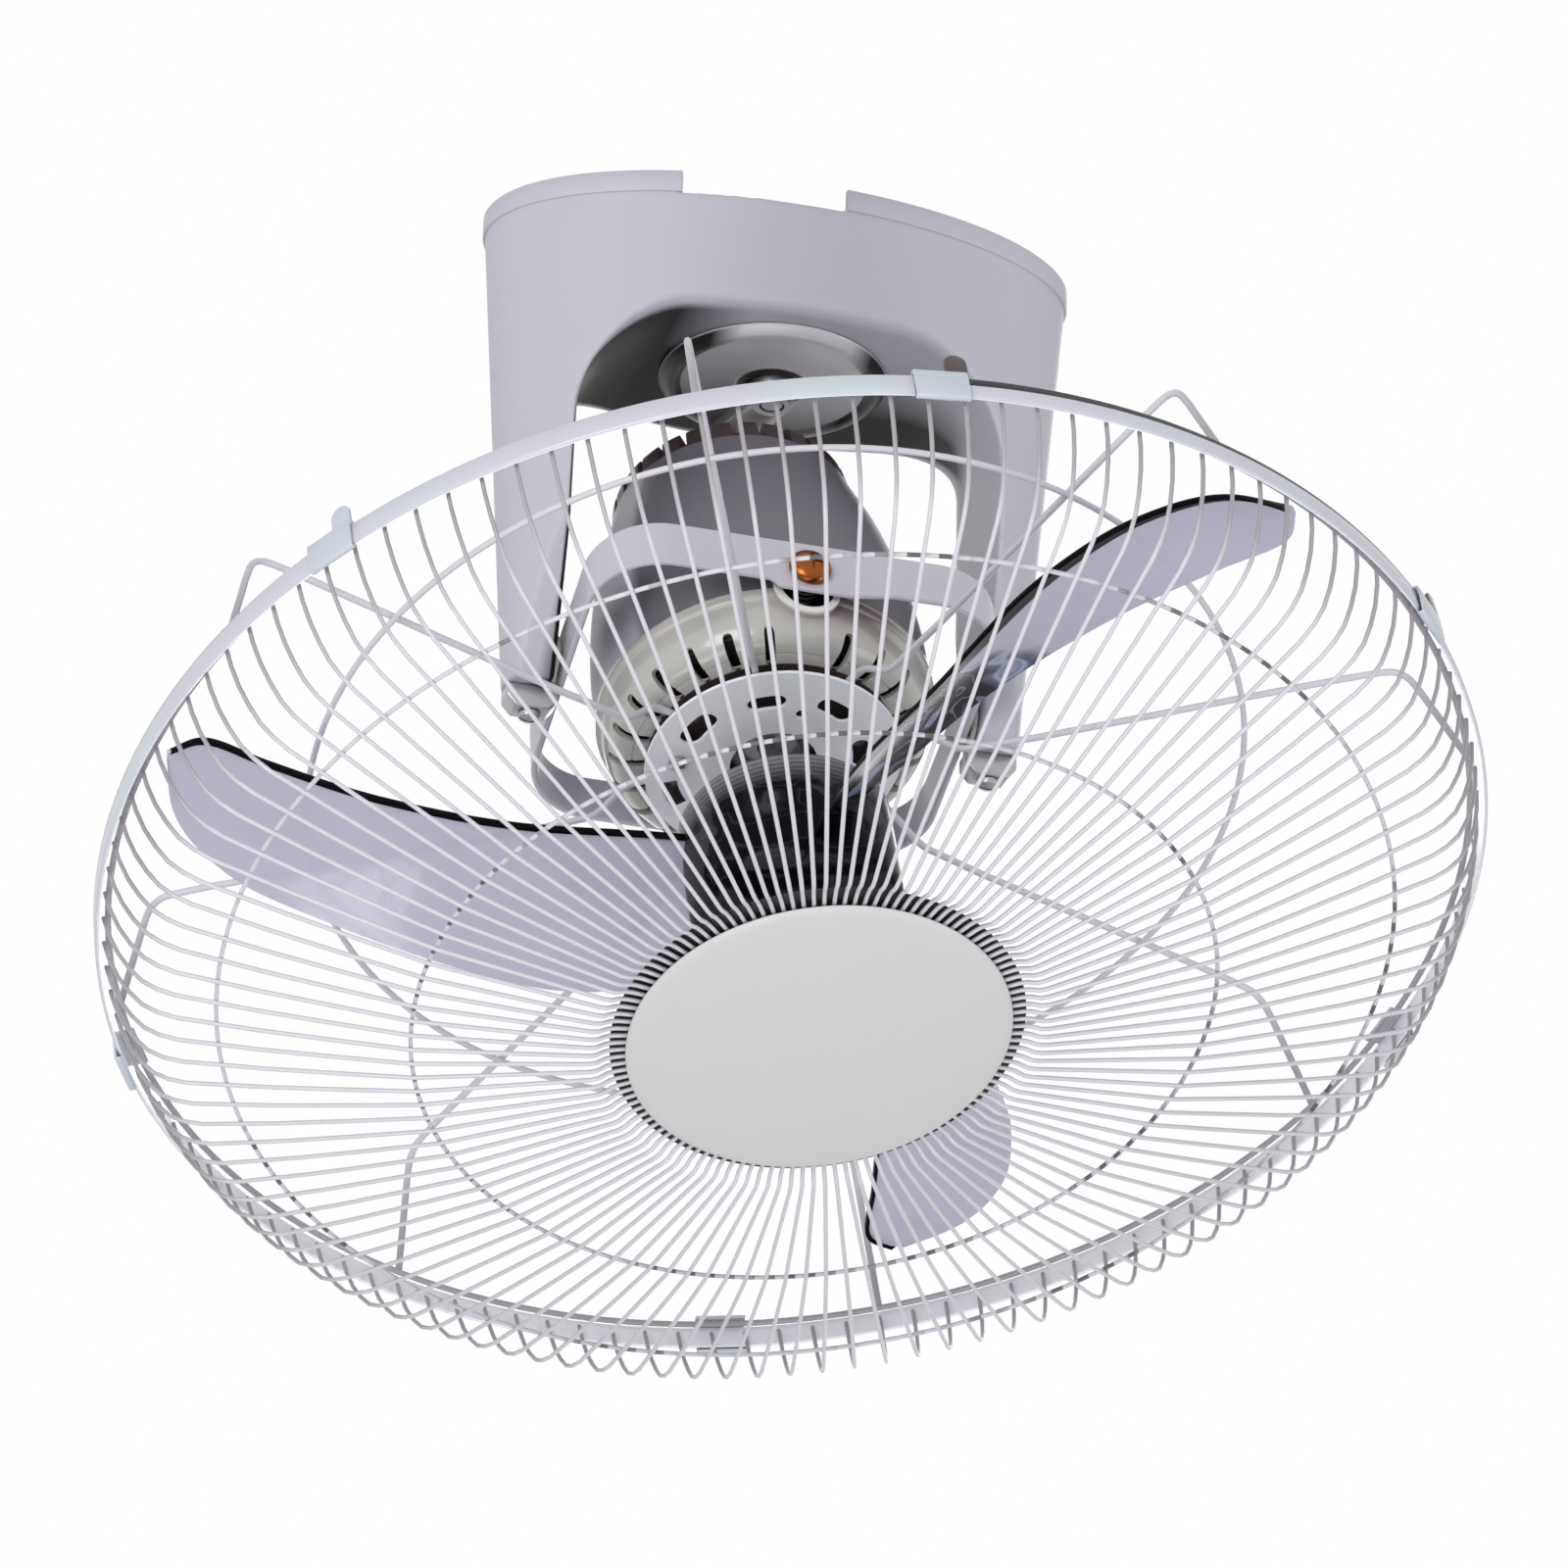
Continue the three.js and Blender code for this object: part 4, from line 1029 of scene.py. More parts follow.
def block(name: str, low: Sequence[float], high: Sequence[float]) -> bpy.types.Object:
    """Makes a box between its lowest and its highest corner, for cutting."""
    corners = [(low[0], low[1]), (high[0], low[1]), (high[0], high[1]), (low[0], high[1])]
    return prism(name, corners, 2, low[2], high[2])


def crossed(reach: float, half: float, low: float, high: float) -> list[bpy.types.Object]:
    """Makes the two crossing blocks that cut a screw's recess.

    Args:
        reach: Half a block's length.
        half: Half its width.
        low: Its lowest height.
        high: Its highest height.

    Returns:
        The two blocks.
    """
    return [block("recess", (-x, -y, low), (x, y, high))
            for x, y in ((reach, half), (half, reach))]


def rod(name: str, start: Sequence[float], end: Sequence[float], radius: float,
        sides: int = 32) -> bpy.types.Object:
    """Makes a plain rod between two points, for cutting and joining.

    Args:
        name: The object's name.
        start: One end.
        end: The other end.
        radius: The rod's radius.
        sides: Its sides.

    Returns:
        The rod.
    """
    return tube(name, [Vector(start), Vector(end)], radius, sides)


def moved(piece: bpy.types.Object, *matrices: Matrix) -> bpy.types.Object:
    """Moves a piece's mesh by matrices, the last one first."""
    for matrix in reversed(matrices):
        piece.data.transform(matrix)
    return piece


def turned(axis: str, angle: float) -> Matrix:
    """Gives a turn about an axis, in radians."""
    return Matrix.Rotation(angle, 4, axis)


def evaluated(piece: bpy.types.Object) -> bpy.types.Mesh:
    """Gives the mesh that an object's modifiers make.

    Args:
        piece: The object.

    Returns:
        A new plain mesh.
    """
    graph = bpy.context.evaluated_depsgraph_get()
    return bpy.data.meshes.new_from_object(piece.evaluated_get(graph), depsgraph=graph)


def settle(piece: bpy.types.Object) -> bpy.types.Object:
    """Applies every modifier of an object.

    Args:
        piece: The object.

    Returns:
        The same object with a plain mesh.
    """
    mesh = evaluated(piece)
    piece.modifiers.clear()
    piece.data = mesh
    return piece


def combine(piece: bpy.types.Object, others: Iterable[bpy.types.Object],
            operation: str = "DIFFERENCE") -> bpy.types.Object:
    """Cuts other solids from a piece, or joins them to it, and removes them.

    Args:
        piece: The solid that is worked on.
        others: The cutters, or what is added.
        operation: DIFFERENCE, UNION or INTERSECT.

    Returns:
        The same object with a plain mesh.
    """
    tools = list(others)
    for tool in tools:
        change = piece.modifiers.new("cut", "BOOLEAN")
        change.operation = operation
        change.solver = "EXACT"
        change.object = tool
    settle(piece)
    for tool in tools:
        bpy.data.objects.remove(tool)
    return piece


def rounded(piece: bpy.types.Object, width: float, segments: int = 2,
            angle: float = 35.0) -> bpy.types.Object:
    """Rounds the sharp edges of a piece.

    Args:
        piece: The mesh object, in millimetres.
        width: The bevel's width.
        segments: Steps round an edge.
        angle: Edges sharper than this are rounded, in degrees.

    Returns:
        The same object with a plain mesh.
    """
    bevel = piece.modifiers.new("edges", "BEVEL")
    bevel.width = width
    bevel.segments = segments
    bevel.limit_method = "ANGLE"
    bevel.angle_limit = math.radians(angle)
    bevel.harden_normals = False
    return settle(piece)


class Assembly:
    """Pieces that are built in one frame and ride one body."""

    frame: ClassVar[Matrix]
    body: ClassVar[str]

    def place(self, piece: bpy.types.Object, look: Look, *stands_for: str,
              sharp: float = 38.0) -> None:
        """Moves a finished mesh to its place, dresses it and ties it to the body.

        Args:
            piece: The mesh object, in millimetres in the assembly's frame.
            look: Its finish.
            stands_for: The frame's nodes that it replaces.
            sharp: Edges sharper than this stay crisp, in degrees.
        """
        mesh = moved(piece, self.frame).data
        mesh.materials.clear()
        mesh.materials.append(look.material)
        mesh.shade_smooth()
        mesh.set_sharp_from_angle(angle=math.radians(sharp))
        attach(piece, self.body)
        if stands_for:
            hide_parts(*stands_for)
        LOG.info("%s on %s: %d faces", piece.name, self.body, len(mesh.polygons))


# ---------------------------------------------------------------- geometry trees
class Tree:
    """A geometry node tree with named inputs, built in Python."""

    def __init__(self, name: str) -> None:
        """Starts a tree.

        Args:
            name: The tree's name.
        """
        self.group = bpy.data.node_groups.new(name, "GeometryNodeTree")
        for way in ("INPUT", "OUTPUT"):
            self.group.interface.new_socket("Geometry", in_out=way,
                                            socket_type="NodeSocketGeometry")
        self.entry = self.group.nodes.new("NodeGroupInput")
        self.exit = self.group.nodes.new("NodeGroupOutput")
        self.keys: dict[str, str] = {}

    def named(self, name: str, kind: str, default: object = None) -> bpy.types.NodeSocket:
        """Adds a named input.

        Args:
            name: The input's name.
            kind: The socket's type.
            default: Its default value.

        Returns:
            The socket that carries it inside the tree.
        """
        item = self.group.interface.new_socket(name, in_out="INPUT", socket_type=kind)
        if default is not None:
            item.default_value = default
        self.keys[name] = item.identifier
        return self.entry.outputs[name]

    def node(self, kind: str, settings: dict[str, object] | None = None,
             inputs: dict[object, object] | None = None) -> bpy.types.Node:
        """Adds a node.

        Args:
            kind: The node's type.
            settings: Its own settings.
            inputs: Values or sockets for its inputs.

        Returns:
            The node.
        """
        node = self.group.nodes.new(kind)
        for key, value in (settings or {}).items():
            setattr(node, key, value)
        for key, value in (inputs or {}).items():
            if isinstance(value, bpy.types.NodeSocket):
                self.group.links.new(value, node.inputs[key])
            else:
                node.inputs[key].default_value = value
        return node

    def finish(self, geometry: bpy.types.NodeSocket) -> None:
        """Ends the tree in real geometry with its material.

        Args:
            geometry: What the tree made.
        """
        material = self.named("Material", "NodeSocketMaterial")
        real = self.node("GeometryNodeRealizeInstances", inputs={"Geometry": geometry})
        soft = self.node("GeometryNodeSetShadeSmooth", inputs={"Geometry": real.outputs[0]})
        dressed = self.node("GeometryNodeSetMaterial",
                            inputs={"Geometry": soft.outputs[0], "Material": material})
        self.group.links.new(dressed.outputs[0], self.exit.inputs[0])

    def grow(self, seed: bpy.types.Object, values: dict[str, object]) -> bpy.types.Object:
        """Runs the tree on an object and keeps the plain result.

        Args:
            seed: The object that the tree starts from.
            values: The values of the named inputs.

        Returns:
            The same object with the tree's mesh.
        """
        modifier = seed.modifiers.new("tree", "NODES")
        modifier.node_group = self.group
        for name, value in values.items():
            modifier[self.keys[name]] = value
        return settle(seed)


class RoundAxis(Tree):
    """Copies of a seed, evenly spaced round Z, as wires along it or as solids."""

    def __init__(self, wires: bool) -> None:
        """Builds the tree.

        Args:
            wires: True turns the seed's edges into round wires first.
        """
        super().__init__("wires_round_axis" if wires else "solids_round_axis")
        count = self.named("Count", "NodeSocketInt", 8)
        phase = self.named("Phase", "NodeSocketFloat", 0.0)
        seed = self.entry.outputs["Geometry"]
        if wires:
            radius = self.named("Wire Radius", "NodeSocketFloat", 1.0)
            sides = self.named("Sides", "NodeSocketInt", 8)
            line = self.node("GeometryNodeMeshToCurve", inputs={"Mesh": seed})
            section = self.node("GeometryNodeCurvePrimitiveCircle",
                                inputs={"Resolution": sides, "Radius": radius})
            skin = self.node("GeometryNodeCurveToMesh", inputs={
                "Curve": line.outputs[0], "Profile Curve": section.outputs[0], "Fill Caps": True})
            seed = skin.outputs[0]
        points = self.node("GeometryNodePoints", inputs={"Count": count})
        index = self.node("GeometryNodeInputIndex")
        step = self.node("ShaderNodeMath", {"operation": "DIVIDE"}, {0: TURN, 1: count})
        turn = self.node("ShaderNodeMath", {"operation": "MULTIPLY_ADD"}, {
            0: index.outputs[0], 1: step.outputs[0], 2: phase})
        spin = self.node("ShaderNodeCombineXYZ", inputs={"Z": turn.outputs[0]})
        rotation = self.node("FunctionNodeEulerToRotation", inputs={0: spin.outputs[0]})
        copies = self.node("GeometryNodeInstanceOnPoints", inputs={
            "Points": points.outputs[0], "Instance": seed, "Rotation": rotation.outputs[0]})
        self.finish(copies.outputs[0])


class Layout:
    """The geometry trees, each built when it is first used."""

    _trees: dict[bool, RoundAxis] = {}

    @classmethod
    def round_axis(cls, seed: bpy.types.Object, count: int, look: Look, phase: float = 0.0,
                   wire: float | None = None, sides: int = 8) -> bpy.types.Object:
        """Spaces copies of a seed round Z.

        Args:
            seed: A solid, or a line of edges for wires.
            count: How many copies.
            look: Their finish.
            phase: The first one's azimuth, in radians.
            wire: The wire's radius, or None for solids.
            sides: The wire's sides.

        Returns:
            The seed's object, now with all the copies.
        """
        wires = wire is not None
        if wires not in cls._trees:
            cls._trees[wires] = RoundAxis(wires)
        tree = cls._trees[wires]
        values: dict[str, object] = {"Count": count, "Phase": phase, "Material": look.material}
        if wire is not None:
            values.update({"Wire Radius": wire, "Sides": sides})
        return tree.grow(seed, values)


def line_object(name: str, points: Sequence[Vector]) -> bpy.types.Object:
    """Makes a line of edges for a wire tree.

    Args:
        name: The object's name.
        points: The line's points.

    Returns:
        The object.
    """
    return mesh_object(name, points, [], [(i, i + 1) for i in range(len(points) - 1)])


# ---------------------------------------------------------------- canopy
@dataclass
class Canopy(Assembly):
    """The oval canopy with its two arms, the boss under it and the arms' pivots."""

    frame: ClassVar[Matrix] = TO_WORLD
    body: ClassVar[str] = "canopy"
    wall: float = 2.4
    arm_bottom: float = -177.0
    arm_end: float = -174.0
    arm_top_x: float = 70.6
    arm_foot_x: float = 70.2
    notch: Point2 = (-43.8, 11.1)
    voxel: float = 1.0
    lip_top: float = 3.4
    lip_leg: float = 1.4
    lip_depth: float = 6.0
    front_shoulder: tuple[float, ...] = (38, 54, 18, 38)
    rear_shoulder: tuple[float, ...] = (46, 62, 6, 20)
    saddle_x: float = 76.0

    def half_sizes(self, z: float, inset: float = 0.0) -> Point2:
        """Gives the wall's half length and half depth at a height.

        Args:
            z: The height.
            inset: How far inside the wall.

        Returns:
            Half length and half depth.
        """
        below = max(-z - RIM_HEIGHT, 0)
        step = 0 if z > -RIM_HEIGHT else RIM_STEP
        return (RIM_A - step - WALL_TAPER.x * below - inset,
                RIM_B - step - WALL_TAPER.y * below - inset)

    def arch(self, facing: int, lift: float = 0.0, spread: float = 0.0) -> list[Point2]:
        """Gives the outline between the arms, opened up by margins.

        Args:
            facing: -1 for the front's rounder shoulders, and 1 for the rear's.
            lift: How far above the arch.
            spread: How far into the arms.

        Returns:
            Points of X and Z.
        """
        start, pull, fall, end = self.front_shoulder if facing < 0 else self.rear_shoulder
        side, top = self.arm_top_x + spread, UNDERSIDE + lift
        shoulder = bezier([(start, top), (pull, top - 1), (side, UNDERSIDE - fall),
                           (side, UNDERSIDE - end)], 24)
        foot_x, foot_z = self.arm_foot_x + spread, self.arm_bottom - 20
        leg = [(foot_x + (side - foot_x) * i / 12, foot_z + (shoulder[-1][1] - foot_z) * i / 12)
               for i in range(12)]
        right = [*leg, *shoulder[::-1]]
        left = [(-x, z) for x, z in right][::-1]
        return [*right, *((x, top) for x in range(30, -31, -10)), *left]

    def passage(self) -> bpy.types.Object:
        """Builds the cutter that opens the arch from front to rear."""
        return loft("passage", [[Vector((x, y, z)) for x, z in self.arch(facing)]
                                for y, facing in ((-66, -1), (-36, -1), (36, 1), (66, 1))])

    def flare(self) -> bpy.types.Object:
        """Builds the cutter that rounds the arch's front and rear edges."""
        angles = [math.radians(90 * i / 8) for i in range(9)]
        rounding = [(1.0, -4.0), *((1 - math.sin(a), self.lip_depth * (1 - math.cos(a)))
                                   for a in angles)]

        def section(open_by: float, inset: float, side: int) -> list[Vector]:
            """Gives the arch's outline on the wall, opened by a share of the lip."""
            points = []
            for x, z in self.arch(side, self.lip_top * open_by, self.lip_leg * open_by):
                a, b = self.half_sizes(max(z, -110), inset)
                y = side * b * math.sqrt(max(1 - (x / a) ** 2, 0.02))
                points.append(Vector((x, y, z)))
            return points

        front = [section(m, d, -1) for m, d in rounding]
        rear = [section(m, d, 1) for m, d in rounding][::-1]
        return loft("flare", [*front, *rear])

    def arm_trimmers(self) -> list[bpy.types.Object]:
        """Builds the wedges that narrow the arms towards their ends."""
        low = self.arm_bottom - 1
        outline = [*bezier([(48, -78), (30, -90), (22, -130), (9, low)], 24), (70, low), (70, -78)]
        return [prism("wedge", [(side * y, z) for y, z in outline], 0, -120, 120)
                for side in (-1, 1)]

    def shell(self) -> bpy.types.Object:
        """Builds the canopy below its rim, with rounded edges."""
        heights = (0, 0.01 - RIM_HEIGHT, -RIM_HEIGHT, -40, -80, -120, -150, self.arm_bottom + 6,
                   self.arm_end)
        shell = loft("canopy_shell_skin", [
            oval(*self.half_sizes(z, RIM_STEP if z > -RIM_HEIGHT else 0), z) for z in heights])
        floor = UNDERSIDE + self.wall
        cavity = loft("cavity", [
            oval(*self.half_sizes(at, self.wall + more), z)
            for at, more, z in ((0, 1, 3), (-RIM_HEIGHT, 0, -RIM_HEIGHT),
                                (floor + 5, 0, floor + 5), (floor, 5, floor))])
        notch = block("notch", (self.notch[0], -60, -RIM_HEIGHT), (self.notch[1], -30, 5))
        bores = [rod("bore", (side * 60, 0, PIVOT_Z), (side * 79.5, 0, PIVOT_Z), 7)
                 for side in (-1, 1)]
        hole = rod("shaft_hole", (0, 0, UNDERSIDE - 4), (0, 0, UNDERSIDE + 6), 14, 48)
        combine(shell, [self.passage(), self.flare(), *self.arm_trimmers(), cavity, notch, hole,
                        *bores])
        remesh = shell.modifiers.new("skin", "REMESH")
        remesh.mode = "VOXEL"
        remesh.voxel_size = self.voxel
        soften = shell.modifiers.new("soften", "SMOOTH")
        soften.factor = 0.5
        soften.iterations = 4
        return settle(shell)

    def band(self) -> bpy.types.Object:
        """Builds the raised band round the rim, open at the cable notch."""
        end, start = (math.acos(x / RIM_A) for x in self.notch)
        low = -RIM_HEIGHT
        section = [(-0.5, 0), (0, -0.7), (0, low + 0.5), (-0.35, low),
                   (-RIM_STEP - 0.6, low + 0.1), (-self.wall, low + 0.4), (-self.wall, 0)]
        rings = []
        for i in range(241):
            angle = -start + (TURN - (end - start)) * i / 240
            along, across = math.cos(angle), math.sin(angle)
            rings.append([Vector(((RIM_A + inset) * along, (RIM_B + inset) * across, z))
                          for inset, z in section])
        return loft("canopy_rim_band", rings)

    def boss(self) -> bpy.types.Object:
        """Builds the bevelled disc round the crank's shaft."""
        top = UNDERSIDE - 0.3
        return lathe("boss_disc", [
            (9, top), (37.4, top), (37.6, top - 0.5), (37.2, top - 1.1), (34.6, top - 2.9),
            (34, top - 3.2), (32, top - 3.2), (31.5, top - 3), (30.6, top - 2.2), (30.1, top - 2),
            (13, top - 2), (12.4, top - 2.2), (11.4, top - 2.9), (9.5, top - 3), (9, top - 2.6),
        ], 128)

    def pivots(self) -> None:
        """Builds the bushes, saddles and screws at the arms' ends."""
        top = self.arm_end - 0.3
        start = top - 8.3
        for side, label in SIDES:
            bush = lathe(f"arm_bush_{label}", [
                (4.3, 68.6), (8.4, 68.6), (9, 69.1), (9, 69.9), (6.7, 69.9), (6.7, 79.2),
                (4.3, 79.2)], 64)
            moved(bush, Matrix.Translation((0, 0, PIVOT_Z)) @ turned("Y", side * math.pi / 2))
            self.place(bush, Look.NYLON, f"pivot_bush_{label}")
            section = [(-8.5, top), (8.5, top), (8.5, top - 4.5), (5.5, top - 8), (-5.5, top - 8),
                       (-8.5, top - 4.5)]
            saddle = prism(f"arm_saddle_{label}", [(side * self.saddle_x + x, z)
                                                   for x, z in section], 1, -4.5, 4.5)
            self.place(rounded(saddle, 0.7, 3), Look.STEEL, f"pivot_saddle_{label}")
            screw = lathe(f"arm_screw_{label}", [
                (0, start), (3.6, start), (3.7, start - 0.5), (3.3, start - 1.7), (2, start - 2.5),
                (0, start - 2.8)], 40)
            combine(screw, [block("slot", (-4, -0.45, start - 4), (4, 0.45, start - 1.6))])
            moved(screw, Matrix.Translation((side * self.saddle_x, 0, 0)))
            self.place(screw, Look.STEEL, f"pivot_screw_{label}")

    def build(self) -> None:
        """Builds and places every piece of the canopy."""
        self.place(self.shell(), Look.CANOPY, "canopy_shell", sharp=60)
        self.place(self.band(), Look.CANOPY)
        self.place(self.boss(), Look.BOSS, "boss_cover")
        self.pivots()


@dataclass
class Crank(Assembly):
    """The crank under the canopy that leads the head's drive stud."""

    frame: ClassVar[Matrix] = TO_CRANK
    body: ClassVar[str] = "crank"
    top: float = UNDERSIDE - 5
    reach: float = 33.0
    half_width: float = 7.0
    face_at: float = 104.6
    boss_radius: float = 7.5

    def along(self, distance: float) -> Vector:
        """Gives a point on the leaning axis, seen in the crank's frame."""
        return Vector((0, distance * math.sin(ORBIT_TILT),
                       PIVOT_Z + distance * math.cos(ORBIT_TILT)))

    def build(self) -> None:
        """Builds and places the crank's arm and shaft."""
        top = self.top
        outline = [polar(self.half_width, start + math.pi * i / 24, (0, centre))
                   for centre, start in ((self.reach, 0), (0, math.pi)) for i in range(25)]
        arm = prism("crank_link", outline, 2, top - 4, top)
        hub = rod("hub", (0, 0, top - 1), (0, 0, UNDERSIDE - 1), 7.6, 48)
        tip = top - self.boss_radius * math.sin(ORBIT_TILT)
        boss = rod("boss", self.along(self.face_at),
                   self.along((tip - PIVOT_Z) / math.cos(ORBIT_TILT)), self.boss_radius, 48)
        combine(arm, [hub, boss], "UNION")
        combine(arm, [rod("bore", (0, 0, -60), (0, 0, -30), 4.2)])
        self.place(rounded(arm, 0.5), Look.STEEL, "crank_arm")
        shaft = lathe("crank_spindle", [(0, top - 5), (3.4, top - 5), (3.9, top - 4.5), (3.9, -31),
                                        (0, -31)], 40)
        self.place(shaft, Look.STEEL, "crank_shaft")


# ---------------------------------------------------------------- gimbal
@dataclass
class Gimbal(Assembly):
    """The rounded ring that carries the motor, with its pins and springs."""

    frame: ClassVar[Matrix] = TO_RING
    body: ClassVar[str] = "gimbal"
    half_x: float = 67.4
    half_y: float = 59.6
    corner: float = 24.0
    thick: float = 2.0
    half_height: float = 9.0
    lug: tuple[Point2, ...] = ((-12.6, -9.0), (-9.6, -11.6), (-8.8, -11.8), (12.6, -11.8),
                               (15, -11.5), (28, -9.0))
    spring_start: float = 47.6
    spring_end: float = 56.0
    spring_radius: float = 4.9
    spring_turns: int = 4

    def path(self) -> list[tuple[Vector, Vector]]:
        """Gives points round the ring's outer face, each with its outward direction."""
        found = []
        x, y = self.half_x - self.corner, self.half_y - self.corner
        corners = [(Vector((x, -y, 0)), -90), (Vector((x, y, 0)), 0), (Vector((-x, y, 0)), 90),
                   (Vector((-x, -y, 0)), 180)]
        for number, (centre, start) in enumerate(corners):
            for i in range(25):
                out = Vector((*polar(1, math.radians(start + 90 * i / 24)), 0))
                found.append((centre + out * self.corner, out))
            here = found[-1][0]
            after, start = corners[(number + 1) % 4]
            out = Vector((*polar(1, math.radians(start)), 0))
            there = after + out * self.corner
            steps = 80 if number in (1, 3) else 16
            found += [(here.lerp(there, i / steps), out) for i in range(1, steps)]
        return found

    def lug_bottom(self, x: float) -> float:
        """Gives how far down the ring reaches beside a tilt pin."""
        for (x0, z0), (x1, z1) in zip(self.lug, self.lug[1:]):
            if x0 <= x <= x1:
                return z0 + (z1 - z0) * (x - x0) / (x1 - x0)
        return -self.half_height

    def band(self) -> bpy.types.Object:
        """Builds the ring's band, with a flat lug under each tilt pin."""
        rings = []
        top, inner, r = self.half_height, -self.thick, 0.55
        for point, out in self.path():
            low = -self.half_height
            if abs(abs(point.y) - self.half_y) < 0.5:
                low = self.lug_bottom(point.x)
            section = [(0, low + r), (0, top - r), (-r, top), (inner + r, top), (inner, top - r),
                       (inner, low + r), (inner + r, low), (-r, low)]
            rings.append([point + out * inset + Vector((0, 0, z)) for inset, z in section])
        return loft("gimbal_band", rings, closed=True)

    def tilt_pins(self) -> None:
        """Builds the tilt pins and their springs."""
        face = self.half_y + 0.3
        for side, label in ((-1, "front"), (1, "rear")):
            stand = Matrix.Translation(PIN_DROP) @ turned("X", -side * math.pi / 2)
            pin = lathe(f"tilt_rivet_{label}", [
                (0, 44.4), (2.6, 44.4), (3, 44.8), (3, face), (6.5, face), (6.9, face + 0.4),
                (6.9, face + 1.2), (6.6, face + 1.9), (5.9, face + 2.6), (4.8, face + 3.2),
                (3.4, face + 3.8), (1.8, face + 4.2), (0, face + 4.3)], 48)
            combine(pin, crossed(3.4, 0.5, face + 3.1, face + 6))
            self.place(moved(pin, stand), Look.BRASS, f"tilt_pin_{label}")
            steps = 22
            count = self.spring_turns * steps
            rise = (self.spring_end - self.spring_start) / count
            helix = [Vector((*polar(self.spring_radius, TURN * i / steps),
                             self.spring_start + rise * i)) for i in range(count + 1)]
            spring = tube(f"tilt_coil_{label}", helix, 0.6, 8)
            self.place(moved(spring, stand), Look.DARK_STEEL, f"pin_spring_{label}", sharp=80)

    def side_pins(self) -> None:
        """Builds the pins that carry the ring in the canopy's arms."""
        inner = self.half_x + 0.3
        for side, label in SIDES:
            pin = lathe(f"side_axle_{label}", [(0, inner), (4, inner), (4, 78.3), (3.5, 78.8),
                                               (0, 78.8)], 40)
            self.place(moved(pin, turned("Y", side * math.pi / 2)), Look.STEEL,
                       f"side_pin_{label}")

    def build(self) -> None:
        """Builds and places the ring and its pins."""
        holes = [rod("hole", (0, side * 40, PIN_DROP.z), (0, side * 80, PIN_DROP.z), 3.3)
                 for side in (-1, 1)]
        self.place(combine(self.band(), holes), Look.RING, "gimbal_ring")
        self.tilt_pins()
        self.side_pins()


